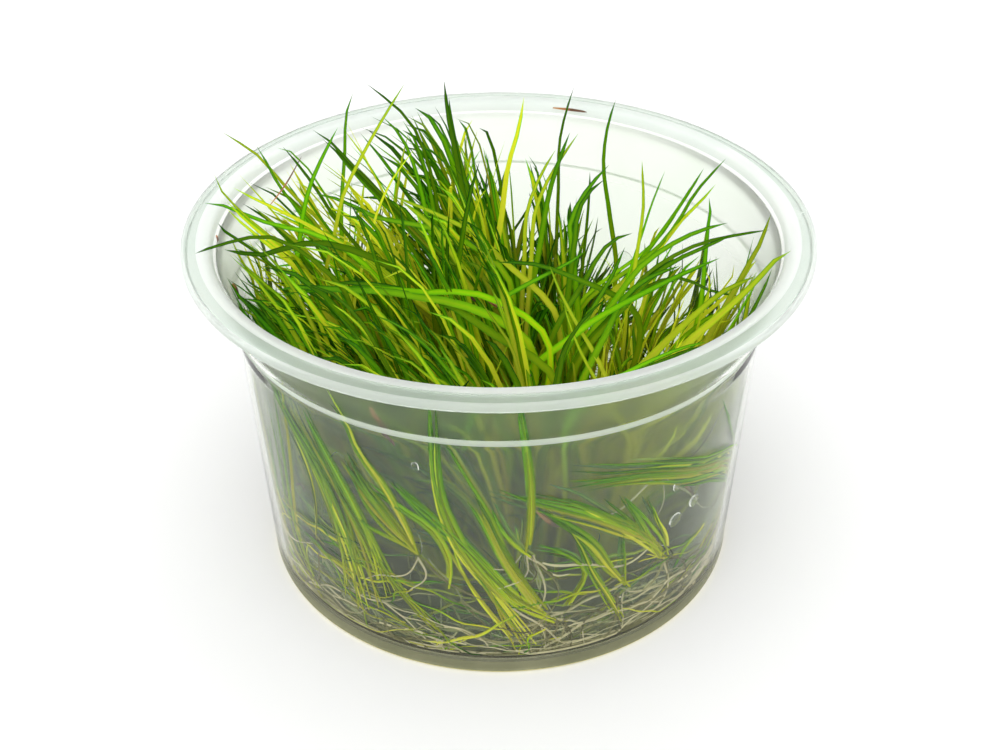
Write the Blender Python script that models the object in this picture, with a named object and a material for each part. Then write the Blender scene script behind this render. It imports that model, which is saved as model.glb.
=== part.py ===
"""Dwarf hairgrass growing in a clear plastic culture cup.

The cup is one turned shell: flat floor, tapered wall, a stacking bead and a flat rim whose lip turns down.
A thin layer of culture gel lies on its floor. The grass is many small tufts, each one plant: a short crown
with thin pointed blades that leave it in a ring. Tufts stand all over the floor and lean with the mass,
and others lie against the wall as fans. No blade touches a blade of another tuft, the cup or the gel.

Lengths in the constants are millimetres, turned into metres when a mesh is made. +Z is up, the cup stands
on Z = 0 and its axis is the Z axis. Angles round the cup are degrees from the front (-Y) towards +X.
"""

from math import cos, pi, sin, tau

import bmesh
import bpy
import numpy as np
from mathutils.bvhtree import BVHTree

MM = 0.001
SEED = 11

# cup
RIM_RADIUS = 50.0
CUP_HEIGHT = 60.0
WALL = 0.9
FLOOR = 1.0
BASE_RADIUS = 40.6
CORNER = 2.2
BEAD_HEIGHT = 48.5
BEAD_RADIUS = 43.8
WALL_UNDER_BEAD = 43.0
WALL_UNDER_RIM = 45.9
FLANGE_INNER = 45.8
LIP_DEPTH = 1.6
BEAD_HALF = 0.7
BEAD_FLAT = 0.35
STEP_OUT = 0.55
STEP_IN = 0.75
UNDERCUT = 0.8
RIM_EDGE = 0.5
MOUTH_EDGE = 0.6
WALL_START = 0.06
TURNED_SIDES = 48
SHARP_ANGLE = 0.6

# culture gel on the floor
GEL_THICK = 1.9
GAP = 0.35
GEL_EDGE = 0.55

# blades: a ring of three corners at each share of the length, then the tip
BLADE_WIDTH = 1.25
BLADE_DEPTH = 0.65
KEEL_SHARE = 0.6
RING_SHARES = (0.16, 0.46, 0.76)
RING_WIDTHS = (0.65, 1.0, 0.85)
WALL_CLEARANCE = 1.0
FLOOR_CLEARANCE = 0.6
CLEARANCE = 1.3
OWN_CLEARANCE = 0.85
NEAR_CROWN = 6
FREE_SHARE = 0.995
SAMPLES = 13
TRIES = 60
STEP = 1.1
FAR = 1e9

# crowns
CROWN_SIDES = 8
CROWN_RADIUS = 1.5
CROWN_HEIGHT = 2.4
CROWN_FOOT = 0.6

# standing tufts
STANDING = 30
STAND_RADIUS = 32.5
LIMIT_RADIUS = 49.0
SPREAD = (4.0, 13.0)
HEIGHT_SHARE = (0.84, 1.0)
BEND_SHARE = (0.75, 1.15)
RISE_SHARE = (0.5, 0.62)
LONG_EASES = (1.0, 0.8, 0.6, 0.4, 0.2)
LONG_FACING = 0.15

# the mass of grass from left to right: its height, how much lower it is behind on the right and in
# front, and how far the tips lean over their crown
RIDGE_AT = (-46.0, -30.0, -12.0, 2.0, 14.0, 26.0, 46.0)
RIDGE_HEIGHT = (61.0, 67.0, 75.0, 70.0, 60.0, 53.0, 54.0)
BEHIND_DROP = 5.0
FRONT_DROP = 6.0
LEAN_AT = (-33.0, -20.0, -4.0, 8.0, 20.0, 33.0)
LEAN_REACH = (-15.0, -22.0, -22.0, -7.0, 12.0, 13.0)

# the longest blades: where each of them is halfway up, and where it ends
LONG_BLADES = (
    ((-29.2, 0.0, 45.4), (-13.9, 0.0, 82.0)),
    ((-33.8, -1.3, 40.4), (-24.7, 2.0, 75.3)),
    ((-23.7, 5.4, 42.0), (-44.3, 10.0, 70.7)),
    ((-15.3, -0.7, 40.6), (-35.0, 6.0, 69.5)),
    ((-8.8, 4.8, 42.7), (-22.2, 14.0, 75.6)),
    ((-3.8, 9.8, 41.1), (-8.7, 15.0, 77.3)),
    ((-2.1, 4.4, 40.8), (4.1, 10.0, 76.5)),
    ((10.0, 20.0, 38.1), (12.9, 26.0, 71.1)),
    ((21.8, 28.0, 34.8), (20.6, 32.0, 66.2)),
    ((3.9, -1.1, 39.6), (11.8, 8.0, 71.9)),
    ((13.0, -5.0, 37.6), (17.6, 5.0, 67.0)),
    ((21.3, 3.4, 35.5), (23.2, 8.0, 66.4)),
    ((32.2, 2.5, 32.5), (34.2, 6.0, 60.7)),
    ((14.4, 7.6, 39.2), (37.7, 15.0, 63.4)),
    ((13.5, -10.6, 41.7), (42.9, -2.0, 60.1)),
    ((3.0, -18.3, 41.2), (34.4, -8.0, 57.4)),
    ((25.3, -16.9, 37.1), (44.0, -12.6, 62.6)),
    ((29.3, -22.3, 34.5), (41.6, -14.7, 59.4)),
    ((9.7, -31.9, 38.0), (30.8, -29.8, 56.9)),
    ((6.1, -33.3, 34.3), (16.0, -26.0, 61.1)),
    ((7.4, -8.6, 34.9), (21.5, 0.0, 57.4)),
    ((-4.0, 2.0, 43.4), (-29.7, 10.0, 71.2)),
    ((-25.5, 7.4, 40.5), (-23.5, 16.0, 74.7)),
    ((-24.6, -8.6, 40.3), (-44.8, -2.0, 69.0)),
    ((-17.6, -7.0, 45.2), (-46.5, 0.0, 63.3)),
    ((-22.1, -16.7, 45.2), (-45.9, -13.7, 61.9)),
    ((-23.3, -7.4, 40.4), (-12.7, -2.0, 73.6)),
    ((2.6, -11.7, 38.1), (-15.2, -4.0, 65.7)),
    ((1.1, -30.0, 35.7), (-18.5, -25.0, 57.6)),
    ((-11.7, -27.9, 36.3), (-30.8, -18.0, 57.1)),
    ((20.1, -28.6, 32.8), (9.4, -22.0, 58.6)),
    ((-25.0, 8.2, 41.2), (-33.0, 10.0, 73.0)),
    ((-32.9, 12.3, 38.8), (-43.5, 15.0, 68.5)),
    ((-27.2, -22.2, 35.8), (-36.0, -27.0, 62.8)),
    ((-21.2, 24.6, 38.0), (-28.0, 30.0, 67.0)),
    ((1.5, 32.8, 37.5), (2.0, 40.0, 66.0)),
    ((21.9, -26.3, 35.9), (29.0, -32.0, 63.0)),
)

# the open corner of the mouth, behind on the right, where the wall is bare, and the way down into it
OPEN_LOW = (19.0, 15.5, 32.0)
OPEN_HIGH = (30.0, 27.5, 86.0)
OPEN_CLEARANCE = 0.9
DIRECTIONS = 500

# fans against the wall: angle and height of the crown, angle and height of the middle tip,
# half spread of the tips along the wall, and how far the middle of the fan bows up
FRONT_FANS = (
    (-25.0, 12.0, -51.0, 43.0, 7.0, 0.0),
    (-44.0, 8.0, -68.0, 36.0, 5.0, 2.0),
    (-16.5, 24.0, -33.0, 46.0, 3.5, 1.5),
    (-1.0, 14.0, -20.0, 35.0, 3.0, -1.0),
    (8.0, 13.5, -11.0, 46.0, 3.0, -4.0),
    (66.0, 10.0, 19.0, 41.0, 5.0, 12.0),
    (50.0, 12.0, 9.0, 36.0, 4.5, 4.5),
    (29.0, 9.0, 22.0, 29.0, 4.5, 0.0),
)
BACK_FANS = (
    (94.0, 8.0, 85.0, 44.0, 6.0, 0.0),
    (128.0, 8.0, 113.0, 40.0, 6.0, 1.0),
    (162.0, 9.0, 146.0, 34.0, 5.0, 2.0),
    (196.0, 8.0, 183.0, 46.0, 6.0, 0.0),
    (230.0, 8.0, 217.0, 40.0, 6.0, 1.0),
    (264.0, 9.0, 250.0, 45.0, 6.0, 2.0),
)
FAN_INSET = 2.1
FAN_SHEET = 0.6
FAN_STAGGER = 0.18
FAN_CROWN_WIDE = 2.1
FAN_CROWN_DEEP = 0.9
FAN_BLADE = 1.05
FAN_REACH = (0.72, 1.0)


def clear_scene():
    """Empty the file of objects."""
    for thing in list(bpy.data.objects):
        bpy.data.objects.remove(thing, do_unlink=True)


def material(name, colour, roughness, transmission=0.0):
    """One Principled material."""
    mat = bpy.data.materials.new(name)
    mat.use_nodes = True
    shader = mat.node_tree.nodes["Principled BSDF"]
    shader.inputs["Base Color"].default_value = (*colour, 1.0)
    shader.inputs["Roughness"].default_value = roughness
    shader.inputs["Metallic"].default_value = 0.0
    shader.inputs["Transmission Weight"].default_value = transmission
    mat.diffuse_color = (*colour, 1.0)
    return mat


def add_object(name, mesh, mat):
    """Put a mesh in the scene under its piece's name."""
    mesh.materials.append(mat)
    thing = bpy.data.objects.new(name, mesh)
    bpy.context.scene.collection.objects.link(thing)
    return thing


def arc(centre_r, centre_z, radius, start, end, steps):
    """Points of a profile on an arc, angles in turns of 90 degrees from +R towards +Z."""
    angles = np.linspace(start, end, steps + 1) * pi / 2
    return [(centre_r + radius * cos(a), centre_z + radius * sin(a)) for a in angles]


def turned(name, profile, sides):
    """Turn an open profile round Z. Its two ends lie on the axis and become poles."""
    bm = bmesh.new()
    bottom = bm.verts.new((0.0, 0.0, profile[0][1] * MM))
    top = bm.verts.new((0.0, 0.0, profile[-1][1] * MM))
    rings = []
    for radius, height in profile[1:-1]:
        angles = [tau * k / sides for k in range(sides)]
        ring = [bm.verts.new((radius * MM * cos(a), radius * MM * sin(a), height * MM)) for a in angles]
        rings.append(ring)
    for k in range(sides):
        n = (k + 1) % sides
        bm.faces.new((bottom, rings[0][n], rings[0][k]))
        bm.faces.new((top, rings[-1][k], rings[-1][n]))
        for low, high in zip(rings, rings[1:]):
            bm.faces.new((low[k], low[n], high[n], high[k]))
    mesh = bpy.data.meshes.new(name)
    bm.to_mesh(mesh)
    bm.free()
    mesh.shade_smooth()
    mesh.set_sharp_from_angle(angle=SHARP_ANGLE)
    return mesh


def cup_profile():
    """Outside from the middle of the base up to the lip, over the rim, and down the inside to the floor."""
    bead_low = BEAD_HEIGHT - BEAD_HALF
    bead_high = BEAD_HEIGHT + BEAD_HALF
    under = CUP_HEIGHT - WALL
    lip = CUP_HEIGHT - LIP_DEPTH
    floor_corner = inner_radius(CORNER + FLOOR) - CORNER
    outside = [(0.0, 0.0)]
    outside += arc(BASE_RADIUS - CORNER, CORNER, CORNER, -1.0, -WALL_START, 2)
    outside += [(WALL_UNDER_BEAD, bead_low), (BEAD_RADIUS, BEAD_HEIGHT - BEAD_FLAT)]
    outside += [(BEAD_RADIUS, BEAD_HEIGHT + BEAD_FLAT), (WALL_UNDER_BEAD + STEP_OUT, bead_high)]
    outside += [(WALL_UNDER_RIM, under - BEAD_HALF), (WALL_UNDER_RIM + UNDERCUT, under)]
    outside += [(RIM_RADIUS - WALL, under), (RIM_RADIUS - WALL, lip)]
    rim = [(RIM_RADIUS, lip), (RIM_RADIUS, CUP_HEIGHT - RIM_EDGE), (RIM_RADIUS - RIM_EDGE, CUP_HEIGHT)]
    rim += [(FLANGE_INNER, CUP_HEIGHT), (FLANGE_INNER - MOUTH_EDGE, CUP_HEIGHT - MOUTH_EDGE)]
    inside = [(inner_radius(bead_high), bead_high), (inner_radius(bead_low), bead_low)]
    inside += arc(floor_corner, CORNER + FLOOR, CORNER, -WALL_START, -1.0, 2)
    inside += [(0.0, FLOOR)]
    return outside + rim + inside


def inner_radius(height):
    """Radius of the inside of the cup at a height, for one value or an array."""
    bead_low = BEAD_HEIGHT - BEAD_HALF
    bead_high = BEAD_HEIGHT + BEAD_HALF
    heights = (FLOOR + CORNER, bead_low, bead_high, CUP_HEIGHT - MOUTH_EDGE, CUP_HEIGHT)
    under_bead = WALL_UNDER_BEAD - WALL
    radii = (BASE_RADIUS - WALL, under_bead, under_bead + STEP_IN, FLANGE_INNER - MOUTH_EDGE, FLANGE_INNER)
    return np.interp(height, heights, radii)


def make_cup(mat):
    """The clear cup, one piece."""
    return add_object("cup", turned("cup", cup_profile(), TURNED_SIDES), mat)


def make_gel(mat):
    """The layer of culture gel, a low disc that keeps clear of the corner."""
    low = FLOOR + GAP
    high = low + GEL_THICK
    rim = BASE_RADIUS - WALL - GAP
    side = [(rim - CORNER, low), (rim - GEL_EDGE, high - GEL_EDGE), (rim - GAP, high)]
    profile = [(0.0, low), *side, (0.0, high)]
    return add_object("culture_gel", turned("culture_gel", profile, TURNED_SIDES), mat)


def unit(vector):
    """The vector at length 1."""
    return vector / np.linalg.norm(vector)


def curve(start, middle, end, count=SAMPLES):
    """Points on the quadratic curve from start to end, drawn towards middle."""
    t = np.linspace(0.0, 1.0, count)[:, None]
    return (1 - t) ** 2 * start + 2 * t * (1 - t) * middle + t**2 * end


def dense(path):
    """The path's points, and points between them, about STEP apart."""
    steps = np.linalg.norm(np.diff(path, axis=0), axis=1)
    along = np.concatenate(([0.0], np.cumsum(steps)))
    wanted = np.linspace(0.0, along[-1], max(int(along[-1] / STEP), 4))
    return np.stack([np.interp(wanted, along, path[:, k]) for k in range(3)], axis=1)


def inside_cup(path):
    """Whether a blade's path keeps clear of the wall, the rim, the gel and the open corner."""
    radius = np.hypot(path[:, 0], path[:, 1])
    height = path[:, 2]
    limit = inner_radius(np.minimum(height, CUP_HEIGHT)) - WALL_CLEARANCE
    limit = np.where(height > CUP_HEIGHT + WALL_CLEARANCE, LIMIT_RADIUS, limit)
    low = np.array(OPEN_LOW) - OPEN_CLEARANCE
    high = np.array(OPEN_HIGH) + OPEN_CLEARANCE
    in_corner = np.all((path > low) & (path < high), axis=1)
    floor = FLOOR + GAP + GEL_THICK + GAP + FLOOR_CLEARANCE
    return bool(np.all(radius < limit) and not in_corner.any() and height.min() > floor)


def sphere_directions():
    """Unit vectors all round, evenly spaced in a spiral from pole to pole."""
    k = np.arange(DIRECTIONS) + 0.5
    height = 1.0 - 2.0 * k / DIRECTIONS
    turn = pi * (1 + 5**0.5) * k
    flat = np.sqrt(1.0 - height**2)
    return np.stack((flat * np.cos(turn), flat * np.sin(turn), height), axis=1)


PLANES = sphere_directions()


def parted_from_corner(points):
    """Whether one plane parts all the points from the open corner of the mouth."""
    x, y, z = zip(OPEN_LOW, OPEN_HIGH)
    corner = np.array([(a, b, c) for a in x for b in y for c in z])
    return bool(np.any((points @ PLANES.T).max(axis=0) + OPEN_CLEARANCE < (corner @ PLANES.T).min(axis=0)))


def distance(path, others):
    """Least distance between the points of a path and an array of points."""
    if len(others) == 0:
        return FAR
    gaps = np.linalg.norm(path[:, None, :] - others[None, :, :], axis=2)
    return float(gaps.min())


def blade_faces():
    """Triangles of a blade's skin: corners 0 to 2 are its place on the crown, the last one is the tip."""
    faces = []
    last = 3 * len(RING_SHARES)
    for i, j in ((0, 1), (1, 2), (2, 0)):
        for low in range(0, last, 3):
            faces += [(low + i, low + j, low + 3 + j), (low + i, low + 3 + j, low + 3 + i)]
        faces.append((last + i, last + j, last + 3))
    return faces


BLADE_FACES = blade_faces()


def blade_corners(path, sideways, width):
    """Rings of three corners along a path, the keel on the inner side and two edges, and then the tip."""
    corners = []
    for share, swell in zip(RING_SHARES, RING_WIDTHS):
        place = share * (len(path) - 1)
        low = int(place)
        spot = path[low] + (place - low) * (path[low + 1] - path[low])
        along = unit(path[low + 1] - path[low])
        across = unit(sideways - along * np.dot(sideways, along))
        outward = np.cross(across, along)
        keel = spot - outward * BLADE_DEPTH * swell * KEEL_SHARE
        flat = spot + outward * BLADE_DEPTH * swell * (1.0 - KEEL_SHARE)
        half = across * width * swell / 2
        corners += [keel, flat - half, flat + half]
    return [*corners, path[-1]]


class Tuft:
    """One plant: a crown with a ring of places, each of which may carry a blade.

    across and depth are the two axes of the crown's ring, wide and deep its radii, and axis is the way it
    points.
    """

    def __init__(self, name, centre, axes, wide, deep, width):
        self.name = name
        self.centre = np.array(centre, dtype=float)
        self.across, self.depth, self.axis = axes
        self.wide, self.deep, self.width = wide, deep, width
        self.blades = {}
        self.trees = {}
        self.points = self.crown_points()

    def ring(self, height, size):
        """Corners of the crown at a height along its axis, with its radii times size."""
        turns = [tau * k / CROWN_SIDES for k in range(CROWN_SIDES)]
        flat = [self.across * self.wide * cos(a) + self.depth * self.deep * sin(a) for a in turns]
        return [self.centre + self.axis * height + size * spot for spot in flat]

    def crown_points(self):
        """Points all over the crown, which other tufts keep clear of."""
        foot = self.ring(-CROWN_HEIGHT, CROWN_FOOT)
        halfway = self.ring(-CROWN_HEIGHT / 2, (1.0 + CROWN_FOOT) / 2)
        middles = [self.centre, self.centre - self.axis * CROWN_HEIGHT]
        return np.array([*self.ring(0.0, 1.0), *halfway, *foot, *middles])

    def crown_sides(self):
        """Corners of the crown, its middle first, and the triangles of its sides and of its foot."""
        corners = [self.centre, *self.ring(0.0, 1.0), *self.ring(-CROWN_HEIGHT, CROWN_FOOT)]
        faces = []
        for k in range(CROWN_SIDES):
            top, beside = 1 + k, 1 + (k + 1) % CROWN_SIDES
            low, below = top + CROWN_SIDES, beside + CROWN_SIDES
            faces += [(low, below, beside), (low, beside, top)]
        first = 1 + CROWN_SIDES
        faces += [(first, first + k + 1, first + k) for k in range(1, CROWN_SIDES - 1)]
        return corners, faces

    def place_corners(self, place):
        """The three corners of a place on the crown's top."""
        top = self.ring(0.0, 1.0)
        return [self.centre, top[place], top[(place + 1) % CROWN_SIDES]]

    def start(self, place):
        """Middle of a place on the crown's top."""
        return sum(self.place_corners(place)) / 3

    def angle(self, place):
        """Angle of a place round the crown, in radians."""
        return tau * (place + 0.5) / CROWN_SIDES

    def sideways(self, place):
        """Direction across a place, along the crown's edge."""
        _, one, other = self.place_corners(place)
        return unit(other - one)

    def free_skin(self, place, path):
        """A blade's skin whose first ring is drawn in a little, so that it shares no corner with the rest."""
        middle = self.start(place)
        first = [middle + (spot - middle) * FREE_SHARE for spot in self.place_corners(place)]
        corners = first + blade_corners(path, self.sideways(place), self.width)
        return BVHTree.FromPolygons([tuple(spot) for spot in corners], BLADE_FACES, all_triangles=True)

    def crosses(self, place, path):
        """Whether a blade would pass through the crown or through another blade of its own tuft."""
        corners, faces = self.crown_sides()
        crown = BVHTree.FromPolygons([tuple(spot) for spot in corners], faces, all_triangles=True)
        skin = self.free_skin(place, path)
        return any(skin.overlap(other) for other in [crown, *self.trees.values()])

    def add(self, place, path):
        """Grow a blade along a path."""
        self.blades[place] = path
        self.trees[place] = self.free_skin(place, path)
        self.points = np.concatenate((self.points, dense(path)))

    def own_gap(self, path):
        """Least distance from a path to the tuft's own blades, past the crown."""
        outer = [dense(other)[NEAR_CROWN:] for other in self.blades.values()]
        return distance(dense(path)[NEAR_CROWN:], np.concatenate(outer)) if outer else FAR

    def mesh(self):
        """The crown and its blades as one closed skin.

        The crown's top is a fan of triangles round its middle. Each triangle with a blade is drawn out
        along the blade's path as rings of three corners that close in a point.
        """
        corners, faces = self.crown_sides()
        for k in range(CROWN_SIDES):
            place = (0, 1 + k, 1 + (k + 1) % CROWN_SIDES)
            if k not in self.blades:
                faces.append(place)
                continue
            own = blade_corners(self.blades[k], self.sideways(k), self.width)
            numbers = (*place, *range(len(corners), len(corners) + len(own)))
            corners += own
            faces += [tuple(numbers[c] for c in face) for face in BLADE_FACES]
        mesh = bpy.data.meshes.new(self.name)
        mesh.from_pydata([tuple(spot * MM) for spot in corners], [], faces)
        return mesh


def standing_spots():
    """Crown places on the floor in a sunflower spiral, which spaces them evenly."""
    golden = pi * (3 - 5**0.5)
    for k in range(STANDING):
        radius = STAND_RADIUS * ((k + 0.5) / STANDING) ** 0.5
        angle = golden * k + 0.4
        yield radius * cos(angle), radius * sin(angle)


def top_height(x, y):
    """Height that the grass reaches over a place: a ridge left of the middle, lower in front and behind."""
    behind = np.clip(y / 40.0, 0.0, 1.0) * np.clip((x + 5.0) / 20.0, 0.0, 1.0)
    front = np.clip((-y - 14.0) / 30.0, 0.0, 1.0)
    return np.interp(x, RIDGE_AT, RIDGE_HEIGHT) - BEHIND_DROP * behind - FRONT_DROP * front


def lean(x, y):
    """Sideways reach of the tips over their crown: out to the left, out to the right, upright behind."""
    return np.array([np.interp(x, LEAN_AT, LEAN_REACH), 0.1 * y + 1.0, 0.0])


def clear_of(tufts, tuft, path):
    """Whether a path keeps its distance from every other tuft."""
    points = dense(path)
    low = points.min(axis=0) - CLEARANCE
    high = points.max(axis=0) + CLEARANCE
    for other in tufts:
        if other is tuft:
            continue
        near = other.points[np.all((other.points > low) & (other.points < high), axis=1)]
        if distance(points, near) < CLEARANCE:
            return False
    return True


def is_clear(tufts, tuft, place, path):
    """Whether a path has room in the cup, in its own tuft and among the other tufts."""
    if not inside_cup(dense(path)) or tuft.own_gap(path) < OWN_CLEARANCE:
        return False
    if not parted_from_corner(np.concatenate((tuft.points, dense(path)))):
        return False
    return not tuft.crosses(place, path) and clear_of(tufts, tuft, path)


def standing_path(tuft, place, rng, attempt):
    """A blade of a standing tuft: up from the crown, then over with the mass. Later tries reach less far."""
    x, y, z = tuft.centre
    around = tuft.angle(place)
    outward = tuft.across * cos(around) + tuft.depth * sin(around)
    spread = rng.uniform(*SPREAD) * (1.0 - 0.5 * attempt / TRIES)
    height = rng.uniform(*HEIGHT_SHARE) * (1.0 - 0.35 * attempt / TRIES)
    start = tuft.start(place)
    bend = lean(x, y) * rng.uniform(*BEND_SHARE)
    tip = np.array([x, y, 0.0]) + bend + outward * spread
    tip[2] = z + (top_height(tip[0], tip[1]) - z) * height
    middle = start + outward * spread * 0.5 + bend * 0.18
    middle[2] = z + (tip[2] - z) * rng.uniform(*RISE_SHARE)
    return curve(start, middle, tip)


def long_path(tuft, place, halfway, tip, ease):
    """A blade from a crown to a given tip. It bows out as far as a given point, times ease."""
    start = tuft.start(place)
    straight = (start + tip) / 2
    return curve(start, straight + 2 * ease * (halfway - straight), tip)


def grow_long(tufts, standing):
    """Grow each of the longest blades from the nearest standing crown that has a clear way for it."""
    for halfway, tip in np.array(LONG_BLADES):
        choices = []
        for tuft in standing:
            away = (halfway - tuft.centre)[:2]
            for place in set(range(CROWN_SIDES)) - set(tuft.blades):
                facing = np.array([cos(tuft.angle(place)), sin(tuft.angle(place))])
                choices.append((np.hypot(*away) - LONG_FACING * facing @ away, tuft, place))
        choices.sort(key=lambda choice: choice[0])
        for _, tuft, place in choices:
            paths = [long_path(tuft, place, halfway, tip, ease) for ease in LONG_EASES]
            paths = [path for path in paths if is_clear(tufts, tuft, place, path)]
            if paths:
                tuft.add(place, paths[0])
                break


def on_wall(angle, height, inset):
    """A point at an angle from the front and a height, inset from the inside of the wall."""
    turn = np.radians(angle)
    radius = inner_radius(height) - inset
    return np.array([radius * sin(turn), -radius * cos(turn), height])


def fan_path(tuft, place, fan, rng, attempt):
    """A blade of a fan: its curve is drawn on the unrolled wall and then laid round the cup.

    Half of the crown's places lie nearer the wall than the others, and so do their blades, in two sheets
    that are set off sideways from each other.
    """
    angle, height, tip_angle, tip_height, spread, bow = fan
    around = tuft.angle(place)
    sheet = 1.0 if sin(around) > 0 else -1.0
    reach = rng.uniform(*FAN_REACH) * (1.0 - 0.45 * attempt / TRIES)
    scale = np.array([inner_radius(height) * pi / 180, 1.0])
    way = np.array([tip_angle - angle, tip_height - height]) * scale
    across = np.array([-way[1], way[0]]) / np.linalg.norm(way)
    side = (cos(around) + FAN_STAGGER * sheet) * spread * rng.uniform(0.8, 1.1)
    start = tuft.start(place)
    radius = np.hypot(start[0], start[1])
    start_angle = np.degrees(np.arctan2(start[0], -start[1]))
    start_angle += 360.0 * round((angle - start_angle) / 360.0)
    first = np.array([start_angle, start[2]])
    end = np.array([angle, height]) + (way * reach + across * side) / scale
    middle = (first + end) / 2 + np.array([0.0, bow]) + across * side * 0.35 / scale
    flat = curve(first, middle, end)
    own = inner_radius(start[2]) - radius
    share = np.minimum(np.linspace(0.0, 3.0, SAMPLES), 1.0)
    inset = own + (FAN_INSET - FAN_SHEET * sheet - own) * share
    turn = np.radians(flat[:, 0])
    ring = inner_radius(flat[:, 1]) - inset
    return np.stack((ring * np.sin(turn), -ring * np.cos(turn), flat[:, 1]), axis=1)


def new_fan(name, fan):
    """The crown of a fan, flat against the wall and pointing along it."""
    angle, height, tip_angle, tip_height, _, bow = fan
    here = on_wall(angle, height, FAN_INSET)
    next_angle = angle + (tip_angle - angle) * 0.15
    next_height = height + (tip_height - height) * 0.15 + bow * 0.3
    axis = unit(on_wall(next_angle, next_height, FAN_INSET) - here)
    inward = unit(np.array([-here[0], -here[1], 0.0]))
    across = unit(np.cross(axis, inward))
    outward = np.cross(axis, across)
    return Tuft(name, here, (across, outward, axis), FAN_CROWN_WIDE, FAN_CROWN_DEEP, FAN_BLADE)


def grow(tufts, tuft, path_of, rng):
    """Give every free place of a tuft the first path that is clear, or leave it bare."""
    for place in range(CROWN_SIDES):
        for attempt in range(TRIES * (place not in tuft.blades)):
            path = path_of(tuft, place, rng, attempt)
            if is_clear(tufts, tuft, place, path):
                tuft.add(place, path)
                break


def make_tufts():
    """All the plants: the fans on the wall first, then the standing tufts from the outside in."""
    rng = np.random.default_rng(SEED)
    fans = FRONT_FANS + BACK_FANS
    tufts = [new_fan(f"wall_tuft_{k + 1:02d}", fan) for k, fan in enumerate(fans)]
    level = FLOOR + GAP + GEL_THICK + GAP + CROWN_HEIGHT
    spots = sorted(standing_spots(), key=lambda spot: -np.hypot(*spot))
    standing = []
    for k, (x, y) in enumerate(spots):
        name = f"standing_tuft_{k + 1:02d}"
        standing.append(Tuft(name, (x, y, level), np.eye(3), CROWN_RADIUS, CROWN_RADIUS, BLADE_WIDTH))
    tufts += standing
    for tuft, fan in zip(tufts, fans):
        grow(tufts, tuft, lambda t, p, r, a, fan=fan: fan_path(t, p, fan, r, a), rng)
    grow_long(tufts, standing)
    for tuft in standing:
        grow(tufts, tuft, standing_path, rng)
    return tufts


def main():
    clear_scene()
    clear_plastic = material("clear_plastic", (0.86, 0.90, 0.88), 0.12, 0.9)
    gel = material("gel", (0.45, 0.45, 0.36), 0.10, 0.8)
    grass = material("grass", (0.24, 0.46, 0.06), 0.45)
    make_cup(clear_plastic)
    make_gel(gel)
    for tuft in make_tufts():
        add_object(tuft.name, tuft.mesh(), grass)


main()
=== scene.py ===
"""Dwarf hairgrass in a clear plastic culture cup: the looks.

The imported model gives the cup, the gel and one solid for each tuft. Here each of them is replaced by its
finished piece: the cup by a finely turned shell, each tuft by its many thin blades. The small things are
added: the tall single blades, roots, dead blades, drops and the moist film on the inside of the wall.

Lengths are millimetres and become metres when a mesh is made. Angles round the cup are degrees from the front
(-Y) towards +X. Places given as photo points are pixels of the 1000 x 750 photograph: a ray from the camera
through the point meets the wall, or an upright plane across the cup, where the piece really lies.
"""

from math import cos, pi, radians, sin, tau

import bpy
import numpy as np
from mathutils import Matrix, Vector


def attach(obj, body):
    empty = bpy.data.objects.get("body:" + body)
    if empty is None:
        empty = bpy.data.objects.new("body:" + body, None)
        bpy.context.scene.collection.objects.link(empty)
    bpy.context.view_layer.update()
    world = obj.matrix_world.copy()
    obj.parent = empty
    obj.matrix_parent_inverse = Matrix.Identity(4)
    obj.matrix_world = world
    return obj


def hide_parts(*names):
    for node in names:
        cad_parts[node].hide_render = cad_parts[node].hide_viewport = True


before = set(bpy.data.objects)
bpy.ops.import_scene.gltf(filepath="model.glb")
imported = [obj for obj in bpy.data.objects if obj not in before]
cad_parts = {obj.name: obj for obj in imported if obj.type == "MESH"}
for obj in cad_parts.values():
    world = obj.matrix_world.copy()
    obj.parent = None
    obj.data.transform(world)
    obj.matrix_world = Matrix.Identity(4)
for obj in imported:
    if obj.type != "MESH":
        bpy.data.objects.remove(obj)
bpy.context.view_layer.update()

MM = 0.001

# camera, solved from the outlines of the rim, bead and base
PHOTO_WIDTH, PHOTO_HEIGHT = 1000, 750
FOCAL_PIXELS = 1446.3
SENSOR = 36.0
CAMERA_AWAY = 247.4
CAMERA_TILT = 0.6091
CAMERA_ROLL = -0.0053
AIM_X, AIM_HEIGHT = 0.1, 29.86

# where along a ray the wall is looked for: from, to and in how many steps
WALL_REACH = (150.0, 330.0, 3600)

# what the random draws start from
STANDING_SEED = 100
TALL_SEED, FAN_SEED, ROOT_SEED, STRAND_SEED, DEAD_SEED, WATER_SEED = 31, 47, 61, 67, 71, 83

# cup, as in the solid
RIM_RADIUS = 50.0
CUP_HEIGHT = 60.0
WALL = 0.9
FLOOR = 1.0
BASE_RADIUS = 40.6
CORNER = 2.2
BEAD_HEIGHT = 48.5
BEAD_RADIUS = 43.8
WALL_UNDER_BEAD = 43.0
WALL_UNDER_RIM = 45.9
FLANGE_INNER = 45.8
LIP_DEPTH = 1.6

# cup, finer than the solid: its sharper outside corner, the step of its foot, the ridge on its rim
OUTER_CORNER = 0.7
FOOT_HEIGHT = 3.7
RIDGE_RADIUS = 47.4
NECK_STEP = 0.75
MIDDLE = 8.0
CUP_SIDES = 192

# gel: its gap and thickness as in the solid, and how near the wall its own surface comes
GAP = 0.35
GEL_THICK = 1.9
GEL_TOP = FLOOR + GAP + GEL_THICK
GEL_SKIN = 0.08

# moist film: how far it stands from the wall, its thickness, its top and how its top bends to the wall
FILM_INSET = 0.6
FILM_THICK = 0.12
FILM_TOP = 58.0
FILM_BEND = 4.0
RING_SIDES = 128

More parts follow.
